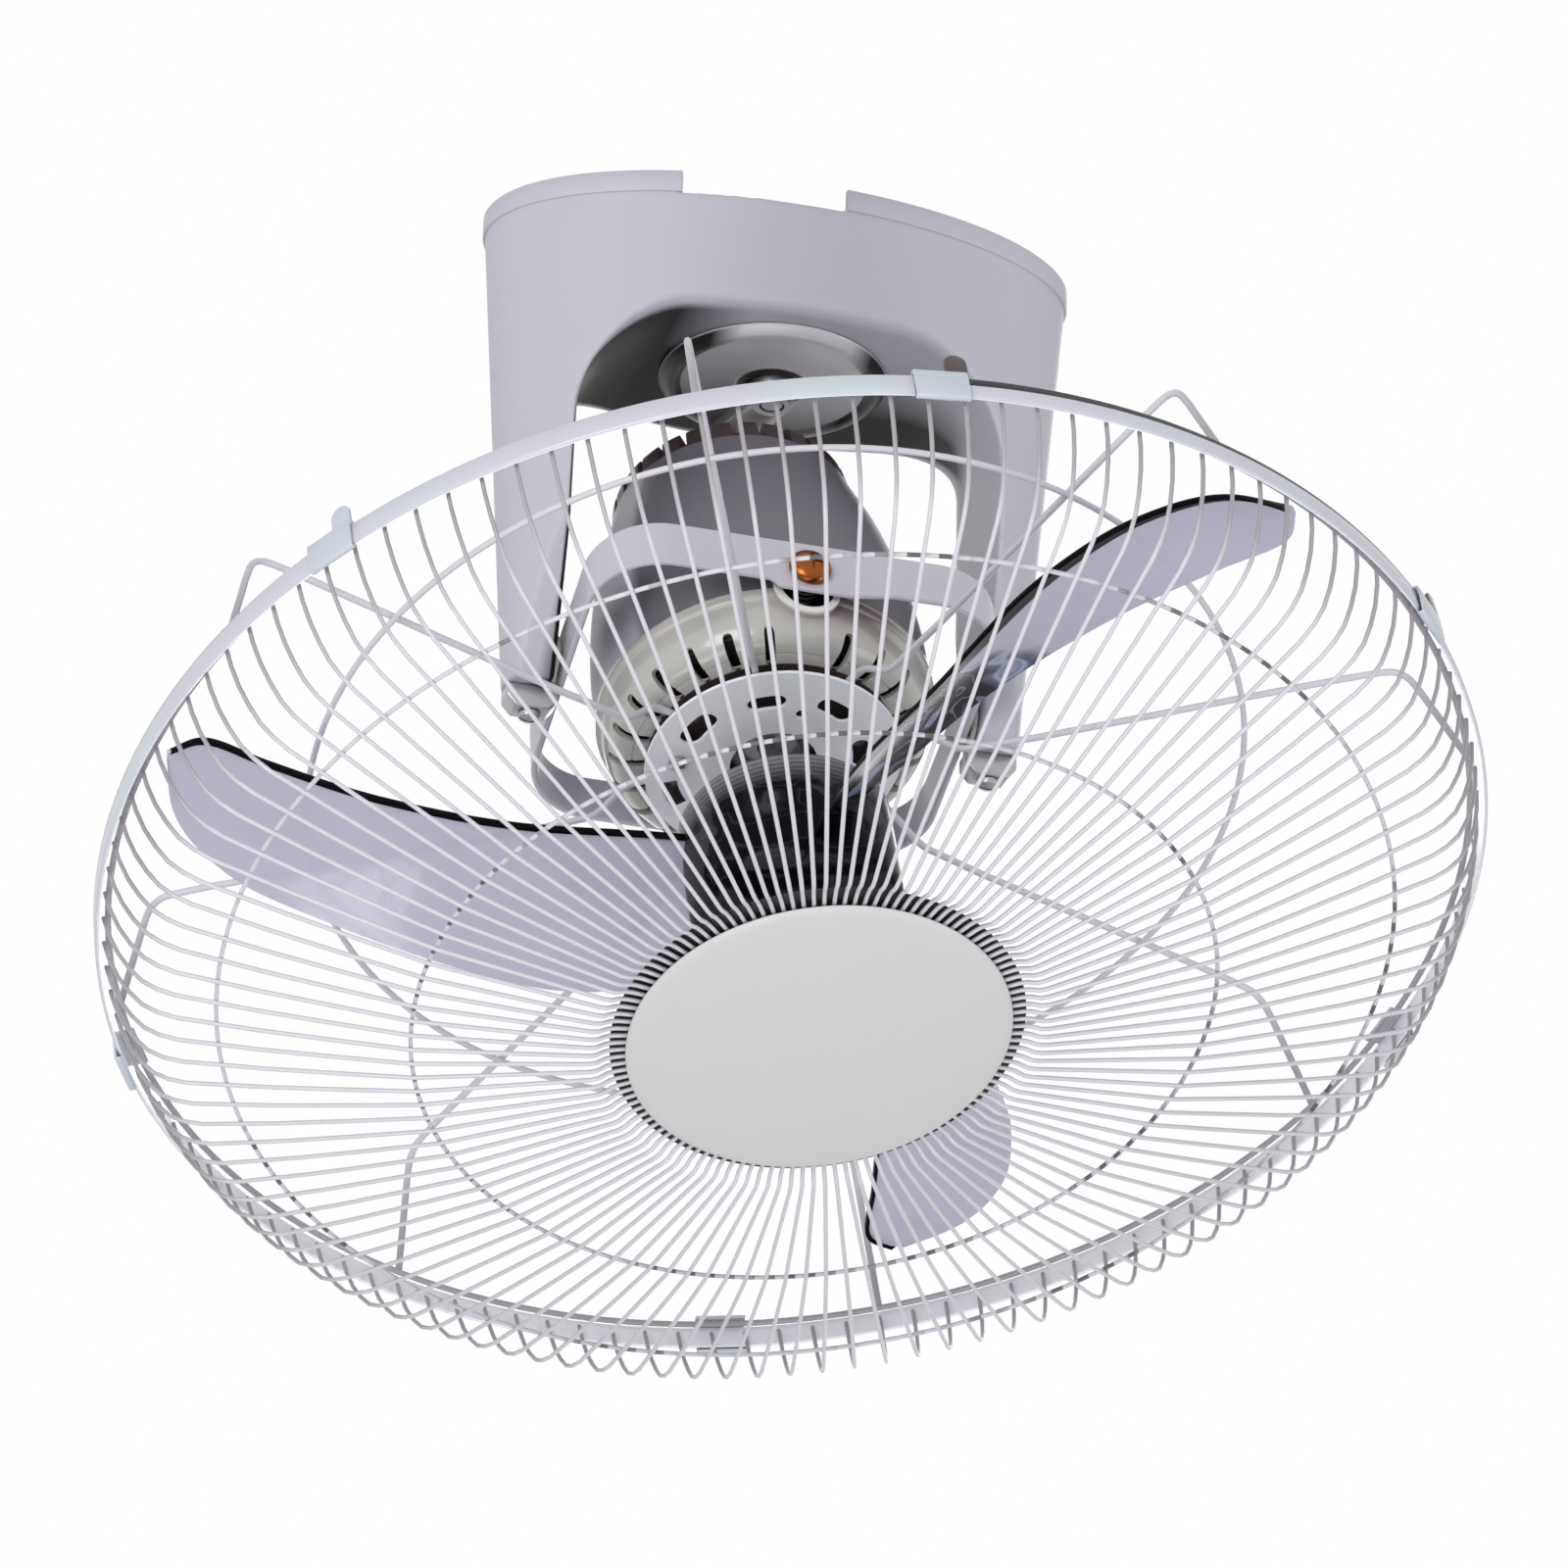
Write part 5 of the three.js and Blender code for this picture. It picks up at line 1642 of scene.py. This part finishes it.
# ---------------------------------------------------------------- motor
@dataclass
class Motor(Assembly):
    """The motor's two covers, the plate on its nose and what its vents show."""

    frame: ClassVar[Matrix] = TO_HEAD
    body: ClassVar[str] = "head"
    radius: float = 54.0
    seam: float = -6.0
    front: float = -26.0
    rear: float = 87.0
    slot_steps: int = 24
    rear_vents: int = 28
    stud_end: float = 103.8
    plate_z: float = -30.8
    plate_radius: float = 41.3
    plate_bore: float = 14.2
    windows: tuple[tuple[float, float, float, float], ...] = (
        (251, 13, 25.4, 31.4), (297, 13, 26.6, 33), (343, 13, 25.4, 31.4), (29, 13, 25.4, 31.4),
        (75, 13, 25.4, 31.4), (204, 14, 27, 34.6))
    screw_azimuths: tuple[float, ...] = (5, 174, 110)
    screw_circle: float = 31.0

    def socket(self, side: int, start: float, end: float, radius: float) -> bpy.types.Object:
        """Builds the long-sided block along Y where a tilt pin meets the motor.

        Args:
            side: -1 in front and 1 behind.
            start: Where it starts, from the motor's axis.
            end: Where it ends.
            radius: The radius of its round ends.

        Returns:
            The block.
        """
        outline = [polar(radius, math.pi * (half + i / 48), (0, -half * SOCKET_SLIDE))
                   for half in (0, 1) for i in range(49)]
        return prism("socket", [(PIN_IN_HEAD.x + x, PIN_IN_HEAD.z + z) for x, z in outline], 1,
                     side * start, side * end)

    def sockets(self, start: float, end: float, radius: float) -> list[bpy.types.Object]:
        """Builds the block for each of the two pins."""
        return [self.socket(side, self.radius + start, self.radius + end, radius)
                for side in (-1, 1)]

    def cups(self, low: float, high: float) -> list[bpy.types.Object]:
        """Builds the part of both pin sockets between two heights, still without bores.

        Args:
            low: The lowest height that is kept.
            high: The highest height that is kept.

        Returns:
            The two cups.
        """
        return [rounded(combine(cup, [block("room", (-20, -80, low), (20, 80, high))],
                                "INTERSECT"), 0.35, 2, 60)
                for cup in self.sockets(-10, 1.5, 11)]

    def bores(self) -> list[bpy.types.Object]:
        """Builds the cutters for the pin sockets and the pins' holes."""
        x, _, z = PIN_IN_HEAD
        holes = [rod("hole", (x, side * 40, z), (x, side * 50, z), 3.4) for side in (-1, 1)]
        return [*self.sockets(-8, 10, 8.4), *holes]

    def front_cover(self) -> bpy.types.Object:
        """Builds the slotted front cover with the lower half of the pin sockets."""
        front, rim = self.front, self.seam - 0.3
        outer = flat_curve([(44, front), (47.6, front + 0.9), (50, front + 2.8),
                            (51.8, front + 6), (52.9, front + 10), (53.5, rim - 4.4)], 5)
        band = [(53.8, rim - 4.1), (54.5, rim - 3.8), (54.8, rim - 3.2), (54.8, rim - 0.6),
                (54.5, rim - 0.1), (54.2, rim)]
        inner = flat_curve([(self.radius - 2, rim), (51, front + 9.4), (48.4, front + 4.2),
                            (43.4, front + 2)], 4)
        shell = lathe("motor_nose", [(9, front), *outer, *band, *inner, (9, front + 2)], 144)
        combine(shell, self.sockets(-8, 10, 10.6))
        combine(shell, self.cups(-40, rim), "UNION")
        slots = []
        for step in range(self.slot_steps):
            if step % (self.slot_steps // 2) != self.slot_steps // 4:
                slot = block("slot", (40, -1.65, front - 2), (51.8, 1.65, front + 6.6))
                slots.append(moved(rounded(slot, 1.2, 3),
                                   turned("Z", TURN * step / self.slot_steps)))
        groove = lathe("groove", [(44.4, front - 1), (45.2, front - 1), (45.2, front + 0.5),
                                  (44.4, front + 0.5)], 144)
        return combine(shell, [*slots, groove, *self.bores()])

    def rear_cover(self) -> bpy.types.Object:
        """Builds the tapering rear cover with its vents and the upper half of the sockets."""
        rear, seam = self.rear, self.seam
        outer = flat_curve([(self.radius, seam), (self.radius + 0.2, 10), (52.2, 30), (47.4, 54),
                            (40, 78), (39, 84.6), (37.4, rear)], 6)
        inner = flat_curve([(32, rear - 2), (37.4, 78), (45.2, 53), (50.2, 30),
                            (self.radius - 2, seam)], 4)
        shell = lathe("motor_bell", [*outer, (12.6, rear), (12, rear + 0.4), (10.4, rear + 2.7),
                                     (9.8, rear + 3), (0, rear + 3), (0, rear - 2), *inner], 144)
        combine(shell, self.cups(seam, 40), "UNION")
        notch = block("notch", (32.4, -1.3, rear - 8), (45, 1.3, rear + 5))
        notches = Layout.round_axis(notch, self.rear_vents, Look.BLACK)
        return combine(shell, [*self.bores(), notches])

    def baffles(self) -> None:
        """Builds the baffles that close the view through slots and vents; the black front one is a
        sheet of painted shade that keeps the slots dark.
        """
        front, rear = self.front, self.rear
        self.place(lathe("front_shade_sheet", [
            (12, front + 6), (48.2, front + 6), (49.6, front + 9), (49, front + 9.4),
            (47.6, front + 6.8), (12, front + 6.8)], 96), Look.BLACK)
        self.place(lathe("rear_baffle", [
            (33.8, 74), (34.6, 74), (32.2, rear - 2.4), (12, rear - 2.4), (12, rear - 3),
            (31.6, rear - 3)], 96), Look.RING)

    def window(self, middle: float, half: float, near: float, far: float) -> list[Point2]:
        """Gives the outline of a bent hole with round ends.

        Args:
            middle: The azimuth of its middle.
            half: Half the angle that it spans.
            near: Its inner radius.
            far: Its outer radius.

        Returns:
            The outline.
        """
        line, round_end = (near + far) / 2, (far - near) / 2
        reach = half - round_end / line
        points = []
        for side, radius in ((1, near), (-1, far)):
            end = polar(line, middle + side * reach)
            spin = 0 if side > 0 else math.pi
            points += [polar(round_end, middle + side * reach + spin + math.pi * i / 12, end)
                       for i in range(13)]
            points += [polar(radius, middle + side * reach * (1 - i / 4)) for i in range(1, 8)]
        return points

    def plate(self) -> bpy.types.Object:
        """Builds the clamping plate with its oblong, round and square holes."""
        curve = bpy.data.curves.new("nose_plate", "CURVE")
        curve.dimensions = "2D"
        curve.fill_mode = "BOTH"
        curve.extrude = 0.42
        curve.bevel_depth = 0.18
        curve.bevel_resolution = 1

        def arc(radius: float, start: float, end: float, steps: int,
                centre: Point2 = (0, 0)) -> list[Point2]:
            """Gives points along an arc, from its ends in degrees."""
            return [polar(radius, math.radians(start + (end - start) * i / steps), centre)
                    for i in range(steps + 1)]

        outlines = [
            arc(self.plate_radius, 0, 357.5, 143),
            arc(self.plate_bore, 0, 354, 59),
            *(self.window(math.radians(middle), math.radians(half), near, far)
              for middle, half, near, far in self.windows),
            [*arc(36.8, 137.3, 158.7, 3), *arc(31.2, 158.7, 137.3, 3)],
            arc(2, 0, 345, 23, polar(23.4, math.radians(277.6))),
        ]
        for points in outlines:
            spline = curve.splines.new("POLY")
            spline.points.add(len(points) - 1)
            for target, (x, y) in zip(spline.points, points):
                target.co = (x, y, 0, 1)
            spline.use_cyclic_u = True
        drawn = add_object("nose_plate", curve)
        mesh = evaluated(drawn)
        bpy.data.objects.remove(drawn)
        return moved(add_object("nose_plate", mesh), Matrix.Translation((0, 0, self.plate_z)))

    def screws(self) -> None:
        """Builds the plate's three screws."""
        for number, azimuth in enumerate(self.screw_azimuths, 1):
            screw = lathe(f"nose_screw_{number}", [
                (0, -31.7), (3.1, -31.7), (3.2, -32.1), (2.9, -33.1), (1.6, -33.8), (0, -34)], 32)
            combine(screw, crossed(2, 0.35, -35, -33))
            spot = polar(self.screw_circle, math.radians(azimuth))
            moved(screw, Matrix.Translation((*spot, 0)))
            self.place(screw, Look.STEEL, f"plate_screw_{number}")

    def build(self) -> None:
        """Builds and places the motor's visible pieces."""
        self.place(self.front_cover(), Look.MOTOR_FRONT, "motor_front_cover")
        self.place(self.rear_cover(), Look.MOTOR_REAR, "motor_rear_cover")
        self.place(self.plate(), Look.PLATE, "guard_plate")
        self.baffles()
        self.screws()
        rear, end = self.rear, self.stud_end
        self.place(lathe("lead_stud", [
            (0, rear + 3.3), (8.6, rear + 3.3), (9, rear + 3.7), (9, rear + 5.2),
            (8.4, rear + 5.8), (5.4, rear + 6.8), (5, rear + 7.6), (5, end - 1.2), (3.9, end),
            (0, end)], 48), Look.STEEL, "drive_stud")


# ---------------------------------------------------------------- impeller
@dataclass
class Impeller(Assembly):
    """The hub cup, its three swept blades and the nut."""

    frame: ClassVar[Matrix] = TO_HEAD
    body: ClassVar[str] = "rotor"
    hub_radius: float = 34.0
    hub_rear: float = -60.0
    hub_front: float = -103.0
    blades: int = 3
    marbled_blade: int = 2
    thick: float = 2.0
    root_camber: float = 5.0
    tip_camber: float = 1.5
    strip_extra: float = 0.3
    strip_widths: tuple[tuple[float, float, float], ...] = (
        (0.7, 1.3, 0.25), (26.0, 2.2, 1.0), (0.9, 1.4, 0.3))
    leading: tuple[tuple[float, float, float], ...] = (
        (30, 183, -69), (80, 180, -69), (130, 182.4, -69), (172, 185.8, -69), (196, 187.3, -69),
        (204, 185.2, -69))
    trailing: tuple[tuple[float, float, float], ...] = (
        (30, 136, -103), (75, 149.5, -102), (103, 158, -97), (147, 166, -83.5), (178, 172, -77),
        (197, 178.5, -72), (204, 184.4, -69.6))

    def edges(self, share: float) -> tuple[Vector, Vector]:
        """Gives the leading and the trailing point at a share of the blade's length."""
        ends = []
        for edge in (self.leading, self.trailing):
            curve = smooth_curve(edge, 16)
            spot = share * (len(curve) - 1)
            low = min(int(spot), len(curve) - 2)
            ends.append(curve[low].lerp(curve[low + 1], spot - low))
        return ends[0], ends[1]

    def section(self, share: float, low: float = 0.0, high: float = 1.0,
                extra: float = 0.0) -> list[Vector]:
        """Gives a blade's cross-section, a thin cambered loop.

        Args:
            share: How far out along the blade.
            low: Where it starts, from the leading edge.
            high: Where it ends, towards the trailing edge.
            extra: How much thicker it is.

        Returns:
            The loop's points.
        """
        lead, trail = self.edges(share)
        camber = self.root_camber * (1 - share) + self.tip_camber
        across = 14

        def line(offset: float) -> list[Vector]:
            """Gives one face of the loop, at an offset that thins towards both edges."""
            points = []
            for i in range(across + 1):
                t = low + (high - low) * i / across
                p = lead.lerp(trail, t)
                edge = min(1.0, 8 * min(t - low, high - t) / (high - low) + 0.15)
                z = p.z + camber * 4 * t * (1 - t) + offset * math.sqrt(edge)
                points.append(Vector((*polar(p.x, math.radians(p.y)), z)))
            return points

        half = self.thick / 2 + extra
        return [*line(half), *line(-half)[::-1]]

    def round_hub(self, name: str, number: int, rings: Sequence[Ring]) -> bpy.types.Object:
        """Skins sections and turns them to the place of one blade.

        Args:
            name: The start of the object's name.
            number: The blade's number.
            rings: The sections.

        Returns:
            The skin.
        """
        return moved(loft(f"{name}_{number}", rings),
                     turned("Z", TURN * (number - 1) / self.blades))

    def blade(self, number: int) -> bpy.types.Object:
        """Builds one blade, out of the hub to its rounded tip."""
        shares = [0.008 + 0.992 * (1 - (1 - i / 44) ** 1.5) for i in range(45)]
        return self.round_hub("blade", number, [self.section(share) for share in shares])

    def strip(self, number: int) -> bpy.types.Object:
        """Builds the dark strip along a blade's edge, a painted reflection of the dark line seen
        in the clear blade there: the trailing one where it is marbled.

        Args:
            number: The blade's number.

        Returns:
            The strip.
        """
        root, tip, proud = self.strip_widths[number - 1]
        rings = []
        for i in range(61):
            share = 0.012 + 0.976 * i / 60
            lead, trail = self.edges(share)
            chord = math.hypot((trail.x + lead.x) / 2 * math.radians(trail.y - lead.y),
                               trail.z - lead.z)
            reach = min((tip + (root - tip) * (1 - share) ** 2.2) / chord, 0.9)
            over = proud / chord
            spans = (1 - reach, 1 + over) if number == self.marbled_blade else (-over, reach)
            rings.append(self.section(share, *spans, self.strip_extra))
        return self.round_hub("blade_edge", number, rings)

    def hub(self) -> bpy.types.Object:
        """Builds the hub's cup."""
        r, front, rear = self.hub_radius, self.hub_front, self.hub_rear
        return lathe("hub_cup", [
            (4.3, front - 1.5), (16, front - 0.6), (26, front + 1.2), (31, front + 3.4),
            (33.2, front + 6), (r, front + 9.5), (r, rear + 0.5), (r - 0.5, rear), (r - 1.8, rear),
            (r - 2.2, rear - 0.5), (r - 2.2, front + 10), (r - 5, front + 6.8), (12, front + 3.2),
            (10.4, front + 5), (10, rear - 8), (4.3, rear - 8)], 96)

    def nut(self) -> bpy.types.Object:
        """Builds the nut that holds the hub, with grips round it."""
        front = self.hub_front
        nut = lathe("hub_nut", [
            (4.3, front - 1.9), (13, front - 1.9), (13.8, front - 3), (13.6, front - 4.4),
            (11.2, front - 9.6), (10.4, front - 10.4), (4.3, front - 11)], 48)
        grip = rod("grip", (13.6, 0, front), (12.6, 0, front - 14), 1.2, 12)
        return combine(nut, [Layout.round_axis(grip, 12, Look.BLACK)])

    def build(self) -> None:
        """Builds and places the impeller."""
        self.place(self.hub(), Look.HUB, "blade_impeller")
        for number in range(1, self.blades + 1):
            look = Look.ROOT if number == self.marbled_blade else Look.BLADE
            self.place(self.blade(number), look, sharp=60)
            # The strip is a painted reflection.
            self.place(self.strip(number), Look.EDGE, sharp=60)
        self.place(self.nut(), Look.BLACK, "blade_nut")


# ---------------------------------------------------------------- guard
@dataclass
class Guard(Assembly):
    """The wire basket: front wires, rings, hoop, clips, rear spokes and the cap."""

    frame: ClassVar[Matrix] = TO_HEAD
    body: ClassVar[str] = "head"
    wires: int = 120
    wire_radius: float = 0.7
    wire_phase: float = math.radians(1.6)
    spokes: int = 8
    spoke_radius: float = 1.15
    rings: tuple[tuple[str, float, float, float], ...] = (
        ("rear_ring_middle", 150.2, -41.8, 1.02), ("rear_ring_outer", 215.4, -84, 1.02),
        ("front_ring_outer", 184.6, -122.7, 0.72), ("front_ring_inner", 125.9, -139.1, 0.72))
    hoop_radius: float = 220.0
    hoop_thick: float = 1.3
    cap_radius: float = 60.4
    cap_z: float = -149.6
    clip_azimuths: tuple[float, ...] = (266.6, 216, 318.2, 151.8, 11.6, 81.7)
    clip_half: float = 8.4
    shaded_tabs: tuple[int, ...] = (1, 3)
    tab_heights: tuple[float, ...] = (8, 8, 8, 3, 3, 2.9)
    tab_middle: float = 5.2
    tab_half: float = 3.5
    front_path: tuple[Point2, ...] = (
        (217, -86.6), (215.8, -94), (213.6, -101.5), (210.6, -108), (207, -113.6), (202.6, -117.3),
        (197, -120.2), (172, -128), (150, -134.2), (125.9, -140.8), (100, -144.7), (72, -148.9),
        (69.5, -148.8), (66.5, -147.5), (64, -147.1), (57, -147.1))
    rear_path: tuple[Point2, ...] = (
        (216, -84), (213, -74), (208.2, -58.5), (205.2, -49), (203, -44), (199.6, -41),
        (194.5, -40), (150.2, -40), (62, -40), (58, -38.6), (49, -30.4), (45.5, -28.7),
        (42, -28.4), (36, -28.4))

    def front_wires(self) -> bpy.types.Object:
        """Builds the front wires."""
        line = line_object("front_wires", [Vector((r, 0, z)) for r, z in self.front_path])
        return Layout.round_axis(line, self.wires, Look.WIRE, self.wire_phase, self.wire_radius, 8)

    def rear_spokes(self) -> bpy.types.Object:
        """Builds the rear spokes, stepped down to the motor's plate."""
        line = line_object("rear_spokes",
                           [Vector((x, 0, z)) for x, z in flat_curve(self.rear_path, 3)])
        return Layout.round_axis(line, self.spokes, Look.WIRE, math.pi / self.spokes,
                                 self.spoke_radius, 10)

    def hoop(self) -> bpy.types.Object:
        """Builds the hoop that joins both guards."""
        front, rear = HOOP_FRONT, HOOP_REAR
        inner, outer = self.hoop_radius - self.hoop_thick, self.hoop_radius
        return lathe("hoop", [
            (inner, front + 0.4), (inner + 0.4, front), (outer - 0.5, front + 0.2),
            (outer, front + 0.9), (outer, rear - 0.9), (outer - 0.5, rear - 0.2),
            (inner + 0.4, rear), (inner, rear - 0.4)], 288)

    def clip(self, number: int, azimuth: float) -> bpy.types.Object:
        """Builds one spring clip that wraps the hoop.

        Args:
            number: The clip's number.
            azimuth: Where it sits, in degrees.

        Returns:
            The clip.
        """
        front, rear, out = HOOP_FRONT, HOOP_REAR, self.hoop_radius + 0.3
        outline = [(out, front - 0.8), (out, rear + 0.3), (214, rear + 0.3), (214, rear + 1.2),
                   (out - 0.4, rear + 1.2), (out + 0.6, rear + 0.9), (out + 0.9, rear + 0.2),
                   (out + 0.9, front - 1.2), (219.6, front - 1.6), (218.6, front - 0.9)]
        made = prism(f"clip_{number}", outline, 1, -self.clip_half, self.clip_half)
        return moved(rounded(made, 0.3), turned("Z", math.radians(azimuth)))

    def tab(self, number: int, azimuth: float) -> bpy.types.Object:
        """Builds the round-topped tab that stands up at a clip's end.

        Args:
            number: The clip's number.
            azimuth: Where the clip sits, in degrees.

        Returns:
            The tab.
        """
        middle, half = self.tab_middle, self.tab_half
        low, top = HOOP_REAR - 1, HOOP_REAR + self.tab_heights[number - 1]
        arc = [polar(half, math.pi * i / 12, (middle, top - half)) for i in range(13)]
        made = prism(f"clip_tab_{number}", [(half + middle, low), *arc, (middle - half, low)], 0,
                     219.7, 220.9)
        return moved(rounded(made, 0.25), turned("Z", math.radians(azimuth)))

    def seat(self) -> bpy.types.Object:
        """Builds the ring under the cap, where the wires end; it is real, and its black is painted
        shade, the dark gaps seen between the wires' ends.
        """
        return lathe("wire_seat", [(54, -145.8), (64.6, -145.8), (65, -145.5), (64.6, -145.2),
                                   (54, -145.2)], 160)

    def cap(self) -> bpy.types.Object:
        """Builds the bare centre cap."""
        z, rim = self.cap_z, self.cap_radius
        face = flat_curve([(0, z - 3), (20, z - 2.8), (36, z - 2.2), (50, z - 1.35), (56, z - 0.8),
                           (58.6, z - 0.4), (59.9, z + 0.1), (rim, z + 0.6)], 4)
        return lathe("centre_disc", [*face, (rim, z + 0.9), (0, z + 0.9)], 192)

    def build(self) -> None:
        """Builds and places the guard."""
        self.place(self.front_wires(), Look.WIRE, "front_guard", sharp=80)
        self.place(self.rear_spokes(), Look.WIRE, "rear_guard", sharp=80)
        for name, radius, z, wire in self.rings:
            ring = tube(name, oval(radius, radius, z, 180), wire, 10, closed=True)
            if name.startswith("front"):
                self.place(ring, Look.CROSS, name.replace("front", "cross"), sharp=80)
            else:
                self.place(ring, Look.WIRE, sharp=80)
        self.place(self.hoop(), Look.HOOP, "hoop_band")
        for number, azimuth in enumerate(self.clip_azimuths, 1):
            self.place(self.clip(number, azimuth), Look.CLIP, f"hoop_clip_{number}")
            # The tabs in the shaded list get the darker finish, as painted shade.
            self.place(self.tab(number, azimuth),
                       Look.TAB if number in self.shaded_tabs else Look.CLIP)
        # The seat's black is painted shade.
        self.place(self.seat(), Look.BLACK)
        self.place(self.cap(), Look.CAP, "centre_cap", sharp=50)


# ---------------------------------------------------------------- carried-over nodes
FRAME_LOOKS: dict[Look, tuple[str, ...]] = {
    Look.STEEL: ("ceiling_plate", "canopy_screw_left", "canopy_screw_right", "orbit_gearmotor",
                 "crank_shaft_clip", "bearing_front", "bearing_rear", "motor_shaft"),
    Look.BLACK: ("run_capacitor",),
    Look.NYLON: ("terminal_block",),
    Look.CORE: ("stator_core", "rotor_core"),
    Look.COPPER: ("winding_front", "winding_rear"),
}


def dress_frame() -> None:
    """Gives each node that stays in view its finish."""
    for look, names in FRAME_LOOKS.items():
        for name in names:
            node = frame["nodes"][name]
            node.data.materials.clear()
            node.data.materials.append(look.material)
            LOG.info("%s keeps its shape in %s", name, look.value.name)


# ---------------------------------------------------------------- studio
@dataclass
class Studio:
    """The camera at the photograph's angle, plain soft lamps, white air and a pale floor."""

    focal_pixels: float = 8161.4
    frame_pixels: float = 1600.0
    sensor: float = 36.0
    right: tuple[float, float, float] = (0.96612, -0.25635, 0.02983)
    up: tuple[float, float, float] = (-0.14237, -0.43299, 0.89009)
    ahead: tuple[float, float, float] = (0.21526, 0.86418, 0.45481)
    offset: tuple[float, float, float] = (-2.325, 174.039, 2646.849)
    target: tuple[float, float, float] = (0, 0, -0.2)
    floor_z: float = -2.35
    floor_half: float = 4.0
    air: float = 0.62
    lamps: tuple[tuple[str, tuple[float, float, float], float, float], ...] = (
        ("key", (-1.6, -2.4, -0.2), 1.6, 35.0),
        ("fill", (2.2, -1.6, -1.4), 1.8, 14.0),
        ("under", (-0.4, -0.8, -2.2), 1.6, 16.0),
        ("back", (0.8, 2.2, 0.9), 1.6, 18.0),
    )

    def camera(self) -> None:
        """Builds the camera."""
        right, up, ahead = Vector(self.right), Vector(self.up), Vector(self.ahead)
        at = -(right * self.offset[0] + up * self.offset[1] + ahead * self.offset[2]) * MM
        data = bpy.data.cameras.new("camera")
        data.sensor_width = self.sensor
        data.lens = self.focal_pixels / self.frame_pixels * self.sensor
        data.clip_end = 100
        made = add_object("camera", data)
        made.matrix_world = Matrix((
            (right.x, up.x, -ahead.x, at.x),
            (right.y, up.y, -ahead.y, at.y),
            (right.z, up.z, -ahead.z, at.z),
            (0, 0, 0, 1),
        ))
        bpy.context.scene.camera = made

    def lights(self) -> None:
        """Builds the lamps."""
        for name, at, size, power in self.lamps:
            data = bpy.data.lights.new(name, "AREA")
            data.shape = "DISK"
            data.size = size
            data.energy = power
            lamp = add_object(name, data)
            lamp.location = at
            way = Vector(self.target) - Vector(at)
            lamp.rotation_euler = way.to_track_quat("-Z", "Y").to_euler()

    def surroundings(self) -> None:
        """Builds the air: white where it is seen or reflected, and plain soft light elsewhere."""
        world = bpy.data.worlds.new("air")
        bpy.context.scene.world = world
        world.use_nodes = True
        nodes, links = world.node_tree.nodes, world.node_tree.links
        rays = nodes.new("ShaderNodeLightPath").outputs
        seen = rays["Is Camera Ray"]
        for kind in ("Is Transmission Ray", "Is Glossy Ray"):
            most = nodes.new("ShaderNodeMath")
            most.operation = "MAXIMUM"
            links.new(seen, most.inputs[0])
            links.new(rays[kind], most.inputs[1])
            seen = most.outputs[0]
        level = nodes.new("ShaderNodeMix")
        level.inputs[2].default_value = self.air
        level.inputs[3].default_value = 1.0
        links.new(seen, level.inputs[0])
        backdrop = nodes["Background"]
        backdrop.inputs["Color"].default_value = (1, 1, 1, 1)
        links.new(level.outputs[0], backdrop.inputs["Strength"])

    def floor(self) -> None:
        """Builds the pale floor far below the fan."""
        shader = Shader("pale_floor")
        shader.set(Base_Color=shader.mix(shader.noise(0.6, 3.0), (0.80, 0.80, 0.80, 1),
                                         (0.86, 0.86, 0.86, 1)), Roughness=0.8)
        half = self.floor_half
        corners = [(-half, -half), (half, -half), (half, half), (-half, half)]
        ground = mesh_object("floor", [(x, y, self.floor_z) for x, y in corners], [(0, 1, 2, 3)])
        ground.data.materials.append(shader.material)

    def build(self) -> None:
        """Builds the whole studio."""
        self.camera()
        self.lights()
        self.surroundings()
        self.floor()
        bpy.context.scene.view_settings.view_transform = "Standard"


def main() -> None:
    """Builds the studio and every assembly in order."""
    logging.basicConfig(level=logging.INFO, format="%(name)s: %(message)s")
    Studio().build()
    builders: Sequence[Callable[[], None]] = (
        Canopy().build, Crank().build, Gimbal().build, Motor().build, Impeller().build,
        Guard().build, dress_frame)
    for build in builders:
        build()


if __name__ == "__main__":
    main()
